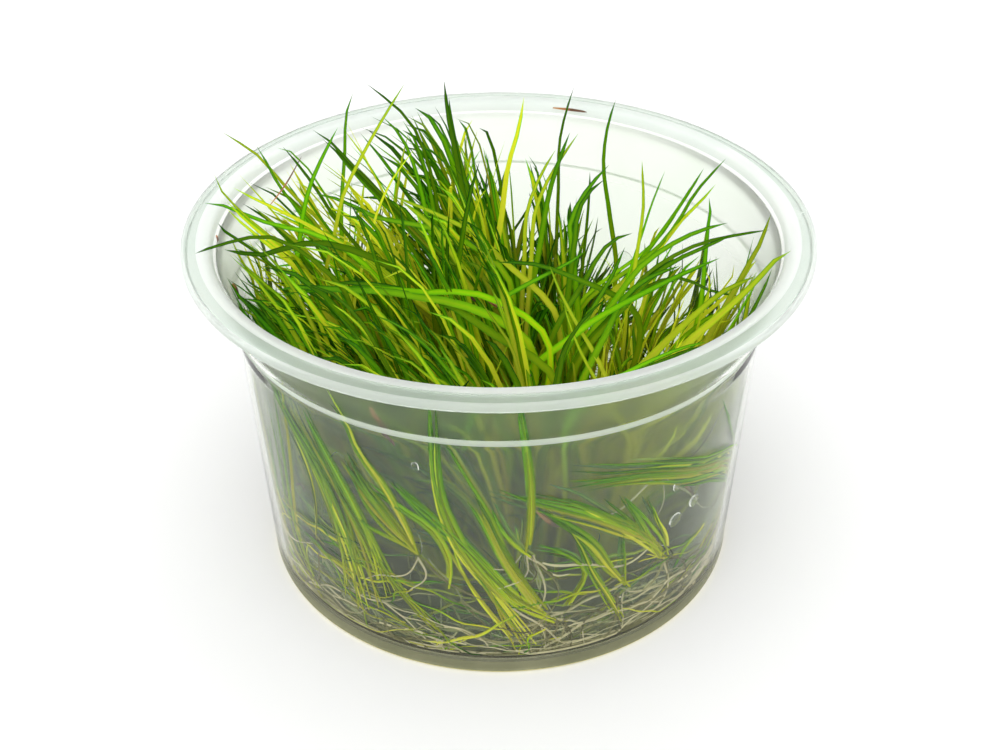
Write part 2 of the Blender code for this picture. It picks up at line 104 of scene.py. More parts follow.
# growth, as in the solids: number and spread of the tufts, outline above the rim, open corner of the mouth
STANDING = 30
STAND_RADIUS = 32.5
LIMIT_RADIUS = 49.2
OPEN_LOW = np.array((19.0, 14.5, 32.5))
OPEN_HIGH = np.array((30.0, 27.5, 66.0))
TALLEST = 81.9

# blades: rings along a blade, its section as across and up values, and what the materials read at each corner
# of it: how near an edge, how far across. The streaks move on by STREAK_SHIFT times the tone.
RINGS = 10
TALL_RINGS = 24
SECTION = np.array(((-1.0, 0.45), (0.0, -0.6), (1.0, 0.45), (0.0, 0.05)))
SECTION_EDGE = (1.0, 0.0, 1.0, 0.0)
SECTION_ACROSS = (0.0, 0.5, 1.0, 0.5)
STREAK_SHIFT = 37.0
SHARP_ANGLE = 0.6

# how sharply the wall bends a blade that would pass through it, and how far in blades lie on it
PRESS = 20
BLADE_INSET = 0.8


# camera

def camera_frame():
    """Place and axes of the camera: where it stands, forward, right and up."""
    forward = np.array([0.0, cos(CAMERA_TILT), -sin(CAMERA_TILT)])
    level = np.array([1.0, 0.0, 0.0])
    upward = np.cross(level, forward)
    right = level * cos(CAMERA_ROLL) + upward * sin(CAMERA_ROLL)
    up = upward * cos(CAMERA_ROLL) - level * sin(CAMERA_ROLL)
    place = np.array([AIM_X, 0.0, AIM_HEIGHT]) - forward * CAMERA_AWAY
    return place, forward, right, up


def ray(point):
    """Direction from the camera through a photo point."""
    _, forward, right, up = camera_frame()
    across = point[0] - PHOTO_WIDTH / 2
    down = point[1] - PHOTO_HEIGHT / 2
    way = forward * FOCAL_PIXELS + right * across - up * down
    return way / np.linalg.norm(way)


def at_depth(point, depth):
    """Where the ray through a photo point meets the upright plane y = depth."""
    place = camera_frame()[0]
    way = ray(point)
    return place + way * (depth - place[1]) / way[1]


def at_most(point, depth, height):
    """Where a photo point lies at a depth y, or farther along the same view if that is over a height."""
    spot = at_depth(point, depth)
    if spot[2] <= height:
        return spot
    eye = camera_frame()[0]
    return eye + (spot - eye) * (height - eye[2]) / (spot[2] - eye[2])


def on_wall(point, inset, far=False):
    """Where the ray through a photo point meets the inside of the wall, inset towards the axis.

    It is the side towards the camera, or with far the side behind. A ray that passes just outside the wall
    gives the place where it comes nearest.
    """
    steps = np.linspace(*WALL_REACH)
    spots = camera_frame()[0] + steps[:, None] * ray(point)
    room = inner_radius(spots[:, 2]) - inset - np.hypot(spots[:, 0], spots[:, 1])
    within = (spots[:, 2] < CUP_HEIGHT - 0.6) & (spots[:, 2] > GEL_TOP)
    room = np.where(within, room, -99.0)
    hits = np.flatnonzero(room > 0.0)
    if len(hits) == 0:
        return spots[np.argmax(room)]
    return spots[hits[-1] if far else hits[0]]


def add_camera():
    """The camera at the photograph's angle."""
    place, forward, right, up = camera_frame()
    data = bpy.data.cameras.new("photo_camera")
    data.sensor_width = SENSOR
    data.lens = FOCAL_PIXELS * SENSOR / PHOTO_WIDTH
    data.clip_start = 0.005
    data.clip_end = 20.0
    camera = bpy.data.objects.new("photo_camera", data)
    columns = np.stack((right, up, -forward), axis=1)
    camera.matrix_world = Matrix.Translation(Vector(place * MM)) @ Matrix(columns.tolist()).to_4x4()
    bpy.context.scene.collection.objects.link(camera)
    bpy.context.scene.camera = camera


# shape helpers

def inner_radius(height):
    """Radius of the inside of the cup at a height."""
    heights = (FLOOR + CORNER, BEAD_HEIGHT - 0.7, BEAD_HEIGHT + 0.7, CUP_HEIGHT - 0.6, CUP_HEIGHT)
    neck = WALL_UNDER_BEAD - WALL + NECK_STEP
    radii = (BASE_RADIUS - WALL, WALL_UNDER_BEAD - WALL, neck, FLANGE_INNER - 0.6, FLANGE_INNER)
    return np.interp(height, heights, radii)


def unit(vectors):
    """Vectors at length 1, along the last axis."""
    return vectors / np.maximum(np.linalg.norm(vectors, axis=-1, keepdims=True), 1e-9)


def through(points, count):
    """A smooth curve through given points, read at even steps of its length.

    Between two points it is the cubic whose slopes at the points are those of the chords on either side.
    """
    points = np.asarray(points, dtype=float)
    chord = np.linalg.norm(np.diff(points, axis=0), axis=1)
    at = np.concatenate(([0.0], np.cumsum(chord)))
    slope = np.gradient(points, at, axis=0)
    place = np.linspace(0.0, at[-1], count)
    k = np.clip(np.searchsorted(at, place, side="right") - 1, 0, len(chord) - 1)
    span = chord[k][:, None]
    u = (place[:, None] - at[k][:, None]) / span
    ends = (2 * u**3 - 3 * u**2 + 1) * points[k] + (3 * u**2 - 2 * u**3) * points[k + 1]
    return ends + (u**3 - 2 * u**2 + u) * span * slope[k] + (u**3 - u**2) * span * slope[k + 1]


def build_mesh(name, points, quads, tris, smooth=True):
    """A mesh from arrays of points in mm and of corner numbers."""
    mesh = bpy.data.meshes.new(name)
    corners = np.concatenate((quads.reshape(-1), tris.reshape(-1))).astype(np.int32)
    sizes = np.concatenate((np.full(len(quads), 4), np.full(len(tris), 3)))
    starts = np.concatenate(([0], np.cumsum(sizes)[:-1])).astype(np.int32)
    mesh.vertices.add(len(points))
    mesh.vertices.foreach_set("co", (points * MM).astype(np.float32).reshape(-1))
    mesh.loops.add(len(corners))
    mesh.loops.foreach_set("vertex_index", corners)
    mesh.polygons.add(len(sizes))
    mesh.polygons.foreach_set("loop_start", starts)
    mesh.update(calc_edges=True)
    mesh.validate()
    if smooth:
        mesh.shade_smooth()
    return mesh


def put_attribute(mesh, name, values):
    """One number for each point of a mesh, under a name that the materials read."""
    layer = mesh.attributes.new(name, "FLOAT", "POINT")
    layer.data.foreach_set("value", np.asarray(values, dtype=np.float32).reshape(-1))


def add_piece(name, mesh, mat, slot, *nodes):
    """A finished piece at the origin: it rides on the one body and replaces its solids. Its slot is not used.
    """
    mesh.materials.append(mat)
    piece = bpy.data.objects.new(name, mesh)
    bpy.context.scene.collection.objects.link(piece)
    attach(piece, "root")
    if nodes:
        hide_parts(*nodes)
    return piece


def taper(t, root, belly):
    """Width along a blade, as a share: root at the crown, full at the belly, kept almost to the tip."""
    rise = root + (1.0 - root) * np.clip(t / belly, 0.0, 1.0) ** 0.7
    fall = np.clip((1.0 - t) / (1.0 - belly), 0.0, 1.0) ** 0.3
    return np.where(t < belly, rise, fall)


def sweep(name, paths, sideways, width, depth, twist, tone, root=0.55, belly=0.35, ripe=0.0, young=0.0):
    """Many blades as one mesh.

    Blade b at t along its path is a ring of four corners: the path's point, plus the section's across value
    times the half width along the side vector, plus its up value times the depth along the normal. The side
    vector is square to the path and turns by twist over the length. The last ring is one point, the tip.
    ripe is the share of a blade's root-to-tip colours that is left out at the root, and young at the tip.
    """
    count, rings = paths.shape[:2]
    t = np.linspace(0.0, 1.0, rings)
    along = unit(np.gradient(paths, axis=1))
    side = sideways if sideways.ndim == 3 else sideways[:, None, :] * np.ones((1, rings, 1))
    side = unit(side - along * np.sum(side * along, axis=-1, keepdims=True))
    normal = np.cross(along, side)
    turn = (twist[:, :1] + twist[:, 1:] * t)[..., None]
    side, normal = side * np.cos(turn) + normal * np.sin(turn), normal * np.cos(turn) - side * np.sin(turn)
    share = taper(t, root, belly)[None, :, None]
    half = share * width[:, None, None] / 2
    thick = np.maximum(share, 0.25) * depth[:, None, None]
    corners = len(SECTION)
    body = paths[:, :-1, None, :] + (half * side)[:, :-1, None, :] * SECTION[None, None, :, :1]
    body = body + (thick * normal)[:, :-1, None, :] * SECTION[None, None, :, 1:]
    body = body.reshape(count, -1, 3)
    points = np.concatenate((body, paths[:, -1:, :]), axis=1)
    each = points.shape[1]
    start = (np.arange(count) * each)[:, None]
    ring = np.arange(rings - 2)[:, None] * corners
    one = ring + np.arange(corners)[None, :]
    nxt = ring + (np.arange(corners)[None, :] + 1) % corners
    sides = np.stack((one, one + corners, nxt + corners, nxt), axis=-1).reshape(-1, 4)
    cap = np.arange(corners)[None, :]
    quads = (start[:, :, None] + np.concatenate((sides, cap))[None]).reshape(-1, 4)
    last = (rings - 2) * corners
    k = np.arange(corners)
    tips = np.stack((last + k, np.full(corners, each - 1), last + (k + 1) % corners), axis=-1)
    tris = (start[:, :, None] + tips[None]).reshape(-1, 3)
    mesh = build_mesh(name, points.reshape(-1, 3), quads, tris)
    mesh.set_sharp_from_angle(angle=SHARP_ANGLE)
    ring_t = np.concatenate((np.repeat(t[:-1], corners), [1.0]))
    put_attribute(mesh, "along", np.tile(ripe + (1.0 - ripe - young) * ring_t, count))
    put_attribute(mesh, "tone", np.repeat(tone, each))
    edge = np.concatenate((np.tile(SECTION_EDGE, rings - 1), [0.5]))
    put_attribute(mesh, "edge", np.tile(edge, count))
    around = np.concatenate((np.tile(SECTION_ACROSS, rings - 1), [0.5]))
    put_attribute(mesh, "across", np.tile(around, count) + np.repeat(tone * STREAK_SHIFT, each))
    return mesh


# materials

def new_material(name):
    """An empty node material: the material, its tree and its Principled shader."""
    mat = bpy.data.materials.new(name)
    mat.use_nodes = True
    tree = mat.node_tree
    return mat, tree, tree.nodes["Principled BSDF"]


def put(tree, socket, value):
    """Give an input its value: an output of another node is linked, anything else is set."""
    if isinstance(value, bpy.types.NodeSocket):
        tree.links.new(value, socket)
    else:
        socket.default_value = value


def node(tree, kind, *inputs, **named):
    """A node of a kind: properties and inputs by name, with _ for a space, then inputs in their order."""
    new = tree.nodes.new(kind)
    for key, value in named.items():
        if hasattr(new, key):
            setattr(new, key, value)
        else:
            put(tree, new.inputs[key.replace("_", " ")], value)
    for socket, value in zip(new.inputs, inputs):
        put(tree, socket, value)
    return new


def set_inputs(tree, shader, **named):
    """Give a shader its inputs by name."""
    for key, value in named.items():
        put(tree, shader.inputs[key.replace("_", " ")], value)


def calc(tree, operation, *inputs):
    """The result of a calculation with values and outputs."""
    return node(tree, "ShaderNodeMath", *inputs, operation=operation).outputs[0]


def ranged(tree, value, low, high, start=0.0, end=1.0, kind="LINEAR"):
    """A value carried from the range start to end over to the range low to high."""
    return node(tree, "ShaderNodeMapRange", interpolation_type=kind, Value=value, From_Min=start,
                From_Max=end, To_Min=low, To_Max=high).outputs["Result"]


def attribute(tree, name):
    """A number that the mesh carries for each point."""
    return node(tree, "ShaderNodeAttribute", attribute_name=name).outputs["Fac"]


def object_place(tree):
    """The place on the piece."""
    return node(tree, "ShaderNodeTexCoord").outputs["Object"]


def object_height(tree):
    """The height on the piece, in metres."""
    return node(tree, "ShaderNodeSeparateXYZ", object_place(tree)).outputs["Z"]


def noise(tree, scale, detail, roughness=0.5):
    """Soft random patches all through the piece."""
    return node(tree, "ShaderNodeTexNoise", Vector=object_place(tree), Scale=scale, Detail=detail,
                Roughness=roughness).outputs["Fac"]


def bumped(tree, height, strength, distance):
    """A normal shaken by a height."""
    return node(tree, "ShaderNodeBump", Height=height, Strength=strength, Distance=distance).outputs["Normal"]


def mixed(tree, share, first, second):
    """One colour faded into another."""
    return node(tree, "ShaderNodeMix", data_type="RGBA", Factor=share, A=first, B=second).outputs["Result"]


def ramp(tree, value, *stops):
    """A colour ramp fed by a value: stops of a place and a colour."""
    new = node(tree, "ShaderNodeValToRGB", value)
    elements = new.color_ramp.elements
    while len(elements) < len(stops):
        elements.new(0.5)
    for element, (place, colour) in zip(elements, stops):
        element.position = place
        element.color = (*colour, 1.0)
    return new.outputs["Color"]


def leaf_group():
    """Shared look of a blade: colour from root to tip, streaks along it, and a fine ribbed height.

    The stage of a colour is the share of the length, shaken by the streaks and moved on towards the edges.
    The blades whose tone is over 1 - Yellow take the yellow ramp. Then each is brightened by its streaks, by
    a number of its own and by its height: Low Brightness in the cup, Brightness above it, which paints shade
    deep in the cup and light above the rim.
    """
    group = bpy.data.node_groups.new("leaf_look", "ShaderNodeTree")
    face = group.interface
    for name, value in (("Brightness", 1.0), ("Low Brightness", 1.0), ("Yellow", 0.5)):
        face.new_socket(name, in_out="INPUT", socket_type="NodeSocketFloat").default_value = value
    face.new_socket("Colour", in_out="OUTPUT", socket_type="NodeSocketColor")
    face.new_socket("Roughness", in_out="OUTPUT", socket_type="NodeSocketFloat")
    face.new_socket("Height", in_out="OUTPUT", socket_type="NodeSocketFloat")
    given = group.nodes.new("NodeGroupInput").outputs
    along, tone, across, edge = (attribute(group, name) for name in ("along", "tone", "across", "edge"))
    place = node(group, "ShaderNodeCombineXYZ", across, along, tone).outputs[0]
    stretch = node(group, "ShaderNodeVectorMath", place, (3.2, 5.0, 9.0), operation="MULTIPLY").outputs[0]
    streak = node(group, "ShaderNodeTexNoise", Vector=stretch, Scale=1.0, Detail=3.0, Roughness=0.6)
    streak = streak.outputs["Fac"]
    start = calc(group, "SUBTRACT", calc(group, "MULTIPLY_ADD", streak, 0.5, along), 0.30)
    stage = calc(group, "MULTIPLY_ADD", calc(group, "POWER", edge, 2.0), 0.26, start)
    green = ramp(group, stage, (0.0, (0.56, 0.52, 0.05)), (0.3, (0.39, 0.44, 0.008)),
                 (0.62, (0.175, 0.35, 0.003)), (0.88, (0.055, 0.21, 0.003)), (1.0, (0.02, 0.09, 0.005)))
    yellow = ramp(group, stage, (0.0, (0.70, 0.69, 0.10)), (0.4, (0.60, 0.57, 0.04)),
                  (0.8, (0.40, 0.49, 0.015)), (1.0, (0.11, 0.29, 0.008)))
    is_yellow = calc(group, "GREATER_THAN", tone, calc(group, "SUBTRACT", 1.0, given["Yellow"]))
    colour = mixed(group, is_yellow, green, yellow)
    # painted light and shade: a blade brightens with height, from Low Brightness deep in the cup to
    # Brightness above the rim
    rise = ranged(group, object_height(group), given["Low Brightness"], given["Brightness"], 0.032, 0.054,
                  "SMOOTHSTEP")
    streaked = calc(group, "MULTIPLY", calc(group, "MULTIPLY_ADD", streak, 0.6, 0.7), rise)
    own = calc(group, "MULTIPLY_ADD", calc(group, "FRACT", calc(group, "MULTIPLY", tone, 17.3)), 0.8, 0.5)
    lit = node(group, "ShaderNodeHueSaturation", Saturation=1.0, Hue=0.5, Color=colour,
               Value=calc(group, "MULTIPLY", streaked, own)).outputs["Color"]
    limit = node(group, "ShaderNodeVectorMath", lit, (0.94, 0.95, 0.45), operation="MINIMUM").outputs[0]
    rib = node(group, "ShaderNodeTexWave", Vector=stretch, Scale=2.4, Distortion=1.5).outputs["Fac"]
    node(group, "NodeGroupOutput", Colour=limit, Roughness=ranged(group, streak, 0.36, 0.60), Height=rib)
    return group


def leaf_material(name, group, low, high, yellow, through_light):
    """A living blade: satin surface, with part of the light that falls on its back shining through."""
    mat, tree, shader = new_material(name)
    look = node(tree, "ShaderNodeGroup", node_tree=group, Low_Brightness=low, Brightness=high, Yellow=yellow)
    colour = look.outputs["Colour"]
    set_inputs(tree, shader, Base_Color=colour, Roughness=look.outputs["Roughness"], Specular_IOR_Level=0.09,
               Normal=bumped(tree, look.outputs["Height"], 0.25, 0.00008))
    glow = node(tree, "ShaderNodeBsdfTranslucent", Color=colour)
    mix = node(tree, "ShaderNodeMixShader", through_light, shader.outputs[0], glow.outputs[0])
    put(tree, tree.nodes["Material Output"].inputs["Surface"], mix.outputs[0])
    return mat


def strand_material(name, carried, shift, scale, rough, *stops):
    """Roots and dead blades: colours by an attribute shaken by patches, matt and slightly uneven."""
    mat, tree, shader = new_material(name)
    patch = noise(tree, scale, 3.0)
    stage = calc(tree, "MULTIPLY_ADD", patch, shift, attribute(tree, carried))
    set_inputs(tree, shader, Base_Color=ramp(tree, stage, *stops), Roughness=rough,
               Normal=bumped(tree, patch, 0.3, 0.0001))
    return mat


def plastic_material(name, through_share, dark, pale, rough_low, rough_high, index):
    """Clear polypropylene: see-through, faintly frosted and milky, with fine flow marks in the gloss."""
    mat, tree, shader = new_material(name)
    cloud = noise(tree, 90.0, 4.0, 0.6)
    set_inputs(tree, shader, Transmission_Weight=through_share, IOR=index,
               Base_Color=ramp(tree, cloud, (0.3, dark), (0.7, pale)),
               Roughness=ranged(tree, cloud, rough_low, rough_high),
               Normal=bumped(tree, noise(tree, 35.0, 2.0), 0.10, 0.0003))
    return mat


def gel_material():
    """Wet culture gel: clear with a grey-brown tinge and small clouds."""
    mat, tree, shader = new_material("culture_gel_wet")
    tint = ramp(tree, noise(tree, 120.0, 5.0, 0.65), (0.35, (0.62, 0.59, 0.40)), (0.65, (0.78, 0.74, 0.55)))
    set_inputs(tree, shader, Transmission_Weight=0.9, IOR=1.34, Base_Color=tint, Roughness=0.12)
    return mat


def haze_material():
    """The moist film behind the fans: cloudy and grey-green below, paler and rougher towards its top."""
    mat, tree, shader = new_material("moist_haze")
    cloud = noise(tree, 45.0, 5.0, 0.6)
    height = object_height(tree)
    low_tint = ramp(tree, cloud, (0.3, (0.79, 0.90, 0.70)), (0.7, (0.89, 0.97, 0.81)))
    high_tint = ramp(tree, cloud, (0.3, (0.93, 0.97, 0.91)), (0.7, (0.97, 0.99, 0.96)))
    tint = mixed(tree, ranged(tree, height, 0.0, 1.0, 18 * MM, 42 * MM), low_tint, high_tint)
    top = ranged(tree, height, 0.0, 0.24, 46 * MM, 56 * MM)
    rough = calc(tree, "ADD", ranged(tree, cloud, 0.17, 0.32), top)
    set_inputs(tree, shader, IOR=1.14, Transmission_Weight=0.96, Base_Color=tint, Roughness=rough)
    return mat


def water_material():
    """Water on the wall: clear, with the faintest ripple."""
    mat, tree, shader = new_material("wall_water")
    ripple = noise(tree, 400.0, 2.0)
    set_inputs(tree, shader, Transmission_Weight=1.0, IOR=1.33, Roughness=0.02,
               Base_Color=ramp(tree, ripple, (0.3, (0.93, 0.96, 0.93)), (0.7, (1.0, 1.0, 1.0))),
               Normal=bumped(tree, ripple, 0.1, 0.0001))
    return mat


# cup, moist film and gel

def arc(centre_r, centre_z, radius, start, end, steps):
    """Points of a profile on an arc, angles in turns of 90 degrees from +R towards +Z."""
    angles = np.linspace(start, end, steps + 1) * pi / 2
    return [(centre_r + radius * cos(a), centre_z + radius * sin(a)) for a in angles]


def turned_points(profile, sides):
    """Points of a profile turned round Z: point i at side k is (r_i cos a_k, r_i sin a_k, z_i)."""
    angles = tau * np.arange(sides) / sides
    ring = np.stack((np.cos(angles), np.sin(angles)), axis=-1)
    heights = np.broadcast_to(profile[:, None, 1:], (len(profile), sides, 1))
    return np.concatenate((profile[:, None, :1] * ring[None], heights), axis=-1).reshape(-1, 3)


def turned(name, profile, sides):
    """Turn a profile round Z into a closed shell: its inner points are rings, its two ends poles."""
    profile = np.array(profile, dtype=float)
    rows = len(profile) - 2
    points = turned_points(profile[1:-1], sides)
    poles = np.array(((0.0, 0.0, profile[0, 1]), (0.0, 0.0, profile[-1, 1])))
    low = (np.arange(rows - 1) * sides)[:, None]
    k = np.arange(sides)
    n = (k + 1) % sides
    quads = np.stack((low + k, low + n, low + sides + n, low + sides + k), axis=-1).reshape(-1, 4)
    last = (rows - 1) * sides
    pole = np.full(sides, len(points))
    tris = np.concatenate((
        np.stack((pole, n, k), axis=-1),
        np.stack((pole + 1, last + k, last + n), axis=-1),
    ))
    return build_mesh(name, np.concatenate((points, poles)), quads, tris)


def turned_ring(name, profile, sides):
    """Turn a closed profile, listed up its outside and down its inside, round Z into a closed ring."""
    profile = np.array(profile, dtype=float)
    i, k = np.arange(len(profile))[:, None], np.arange(sides)[None, :]
    j, n = (i + 1) % len(profile), (k + 1) % sides
    quads = np.stack((i * sides + k, i * sides + n, j * sides + n, j * sides + k), axis=-1).reshape(-1, 4)
    return build_mesh(name, turned_points(profile, sides), quads, np.empty((0, 3), int))


def rounded(points, radius, steps=4):
    """A profile with each inner corner rounded: a quadratic curve between points set back by the radius."""
    points = [np.array(p, dtype=float) for p in points]
    out = [points[0]]
    t = np.linspace(0.0, 1.0, steps + 1)[:, None]
    for before, corner, after in zip(points, points[1:], points[2:]):
        ends = []
        for other in (before, after):
            length = np.linalg.norm(other - corner)
            ends.append(corner + (other - corner) / length * min(radius, length * 0.48))
        out.extend((1 - t) ** 2 * ends[0] + 2 * t * (1 - t) * corner + t**2 * ends[1])
    out.append(points[-1])
    return out


def cup_profile():
    """The cup's section: up the outside to the lip, over the rim and its ridge, back down the inside."""
    under = CUP_HEIGHT - WALL
    lip = CUP_HEIGHT - LIP_DEPTH
    outside = [(0.0, 0.0), (MIDDLE, 0.0)]
    outside += arc(BASE_RADIUS - OUTER_CORNER, OUTER_CORNER, OUTER_CORNER, -1.0, -0.06, 8)
    outside += [(BASE_RADIUS + 0.08, FOOT_HEIGHT - 1.0), (BASE_RADIUS + 0.13, FOOT_HEIGHT)]
    outside += [(WALL_UNDER_BEAD - 0.2, BEAD_HEIGHT - 1.8), (BEAD_RADIUS - 0.35, BEAD_HEIGHT - 0.4)]
    outside += [(BEAD_RADIUS, BEAD_HEIGHT), (BEAD_RADIUS - 0.1, BEAD_HEIGHT + 0.4)]
    outside += [(WALL_UNDER_BEAD + NECK_STEP, BEAD_HEIGHT + 1.8)]
    outside += [(WALL_UNDER_RIM, under - 0.7), (WALL_UNDER_RIM + 0.8, under)]
    outside += [(RIM_RADIUS - WALL, under), (RIM_RADIUS - WALL, lip)]
    rim = [(RIM_RADIUS, lip), (RIM_RADIUS, CUP_HEIGHT - 0.3), (RIM_RADIUS - 0.5, CUP_HEIGHT - 0.12)]
    rim += [(RIDGE_RADIUS + 0.9, CUP_HEIGHT - 0.15), (RIDGE_RADIUS, CUP_HEIGHT)]
    rim += [(RIDGE_RADIUS - 1.0, CUP_HEIGHT - 0.05), (FLANGE_INNER - 0.2, CUP_HEIGHT - 0.25)]
    rim += [(FLANGE_INNER - 0.6, CUP_HEIGHT - 1.1)]
    inside = [(inner_radius(BEAD_HEIGHT + rise) + out, BEAD_HEIGHT + rise)
              for rise, out in ((4.5, 0.0), (0.0, 0.15), (-4.5, 0.0))]
    inside += arc(inner_radius(CORNER + FLOOR) - CORNER, CORNER + FLOOR, CORNER, -0.06, -1.0, 8)
    inside += [(MIDDLE, FLOOR), (0.0, FLOOR)]
    return rounded(outside + rim + inside, 0.5, 4)


# zones of the cup: material, share of light let through, darker and paler tint, roughness from and to, IOR
CUP_ZONES = (
    ("clear_plastic_outside", 0.985, (0.95, 0.97, 0.93), (0.98, 0.99, 0.96), 0.03, 0.06, 1.13),
    ("clear_plastic_inside", 0.985, (0.94, 0.965, 0.91), (0.97, 0.985, 0.95), 0.03, 0.07, 1.13),
    ("milky_plastic_rim", 0.66, (0.88, 0.94, 0.89), (0.94, 0.98, 0.94), 0.26, 0.34, 1.25),
    ("plain_plastic_flange", 0.84, (0.74, 0.84, 0.75), (0.82, 0.90, 0.82), 0.22, 0.30, 1.25),
    # bead: a painted highlight, the light catching on the bead, whiter and less clear
    ("bead_painted_highlight", 0.50, (0.82, 0.91, 0.79), (0.90, 0.96, 0.86), 0.34, 0.44, 1.12),
    # edge: painted light, a bright olive line for the light refracted through the bottom corner, laid over
    # its contact shade
    ("olive_edge_painted_light", 0.08, (0.66, 0.61, 0.27), (0.80, 0.74, 0.36), 0.35, 0.45, 1.1),
    # foot: painted shade, the dim band at the base where the floor under the cup lies in shadow, tinted olive
    # like the gel
    ("olive_foot_painted_shade", 0.50, (0.32, 0.33, 0.19), (0.46, 0.46, 0.28), 0.16, 0.24, 1.1),
    # ridge: a painted highlight along the crest of the rim, paler and less clear
    ("ridge_painted_highlight", 0.48, (0.92, 0.97, 0.92), (0.97, 1.0, 0.96), 0.30, 0.38, 1.25),
    # top of the foot: a lighter step of the foot's painted shade
    ("olive_foot_top_painted_shade", 0.72, (0.48, 0.49, 0.31), (0.62, 0.62, 0.42), 0.10, 0.18, 1.1),
)
OUTSIDE, INSIDE, RIM, FLANGE, BEAD_HIGHLIGHT, EDGE_LIGHT, FOOT_SHADE, RIDGE_HIGHLIGHT, FOOT_TOP_SHADE = range(len(CUP_ZONES))


def make_cup():
    """The clear cup. Its faces fall into zones with their own finish; some zones are painted light and shade.

    The wall is clear. The rim and its flat are milkier. The bead's white band is a painted highlight, and its
    line is thinner behind. The pale band inside the ridge, at the front and sides, is a painted highlight.
    The foot is olive with painted shade, darker below its top step, and the olive edge of the base is painted
    light. A face lies in the last zone whose rule it meets.
    """
    mesh = turned("clear_cup", cup_profile(), CUP_SIDES)
    mats = [plastic_material(*row) for row in CUP_ZONES]
    add_piece("clear_cup", mesh, mats[OUTSIDE], "clear_plastic", "cup")
    for mat in mats[1:]:
        mesh.materials.append(mat)
    centres = np.empty(len(mesh.polygons) * 3)
    mesh.polygons.foreach_get("center", centres)
    centres = centres.reshape(-1, 3) / MM
    height, away = centres[:, 2], np.hypot(centres[:, 0], centres[:, 1])
    outer = away > BASE_RADIUS - WALL + 0.4
    # painted highlight on the bead: a band 0.62 mm each side of it in front, 0.2 mm behind
    bead_highlight_half = np.where(centres[:, 1] < 0.0, 0.62, 0.2)
    zone = np.where(away < inner_radius(height) + 0.4, INSIDE, OUTSIDE)
    for rule, number in (
        ((height < FLOOR * 0.5) | (away < MIDDLE), OUTSIDE),
        (height > CUP_HEIGHT - 2.0, RIM),
        ((height > CUP_HEIGHT - 0.4) & (away > RIDGE_RADIUS + 0.3) & (away < RIM_RADIUS - 0.5), FLANGE),
        ((np.abs(height - BEAD_HEIGHT) < bead_highlight_half) & (away > WALL_UNDER_BEAD), BEAD_HIGHLIGHT),
        # painted shade on the foot, lighter on its top step
        ((height < FOOT_HEIGHT) & outer, FOOT_TOP_SHADE),
        ((height < FOOT_HEIGHT - 1.0) & outer, FOOT_SHADE),
        # painted light along the bottom edge of the base
        ((height < 0.52) & (away > BASE_RADIUS - OUTER_CORNER), EDGE_LIGHT),
        # painted highlight inside the ridge, at the front and sides only
        ((height > CUP_HEIGHT - 1.2) & (away < RIDGE_RADIUS) & (centres[:, 1] < 25.0), RIDGE_HIGHLIGHT),
    ):
        zone[rule] = number
    mesh.polygons.foreach_set("material_index", zone.astype(np.int32))


def make_haze():
    """The moist film between the fans and the rest of the grass: a thin closed sheet turned round the axis.

    It runs up the inside of the wall at FILM_INSET from it, and bends to the wall at its top.
    """
    heights = np.linspace(GEL_TOP + 0.5, FILM_TOP, 24)
    closing = np.clip((heights - FILM_TOP + FILM_BEND) / FILM_BEND, 0.0, 1.0) ** 2
    near = inner_radius(heights) - FILM_INSET + (FILM_INSET - 0.3) * closing
    inner = list(zip(near, heights))
    outer = list(zip(near + FILM_THICK, heights))
    mesh = turned_ring("moist_haze", outer + inner[::-1], RING_SIDES)
    add_piece("moist_haze", mesh, haze_material(), "gel")


def make_gel():
    """The gel layer with its meniscus against the wall."""
    low = FLOOR + GEL_SKIN
    rim = inner_radius(GEL_TOP) - GEL_SKIN
    corner = inner_radius(CORNER + FLOOR) - CORNER
    profile = [(0.0, low), (MIDDLE, low)]
    profile += arc(corner, CORNER + FLOOR, CORNER - GEL_SKIN, -1.0, -0.12, 8)
    profile += [(rim - 0.05, GEL_TOP), (rim - 0.9, GEL_TOP - 0.3)]
    profile += [(radius, GEL_TOP - 0.4) for radius in (rim - 3.0, MIDDLE, 0.0)]
    mesh = turned("gel_layer", rounded(profile, 0.5, 3), RING_SIDES)
    add_piece("gel_layer", mesh, gel_material(), "gel", "culture_gel")


# grass

def standing_spots():
    """Crown places on the floor in a sunflower spiral, outermost first."""
    k = np.arange(STANDING)
    radius = STAND_RADIUS * ((k + 0.5) / STANDING) ** 0.5
    angle = pi * (3 - 5**0.5) * k + 0.4
    spots = np.stack((radius * np.cos(angle), radius * np.sin(angle)), axis=-1)
    return spots[np.argsort(-radius, kind="stable")]


def top_height(x, y):
    """Height that the mass of the grass reaches over a place.

    It is a ridge left of the middle, lower to the right, and lowest behind on the right, where the wall
    shows.
    """
    places = (-46.0, -30.0, -12.0, 2.0, 14.0, 26.0, 46.0)
    ridge = np.interp(x, places, (61.0, 66.0, 72.0, 67.0, 58.0, 52.0, 54.0))
    behind = np.clip(y / 40.0, 0.0, 1.0) * np.clip((x + 5.0) / 20.0, 0.0, 1.0)
    front = np.clip((-y - 14.0) / 30.0, 0.0, 1.0)
    return ridge - 5.0 * behind - 6.0 * front


def lean(x, y):
    """Sideways reach of the tips over their crown: far out to the left, less to the right, upright behind."""
    sideways = np.interp(x, (-33.0, -20.0, -4.0, 8.0, 20.0, 33.0), (-15.0, -22.0, -22.0, -7.0, 12.0, 13.0))
    return np.stack((sideways, 0.10 * y + 1.0, np.zeros_like(x)), axis=-1)


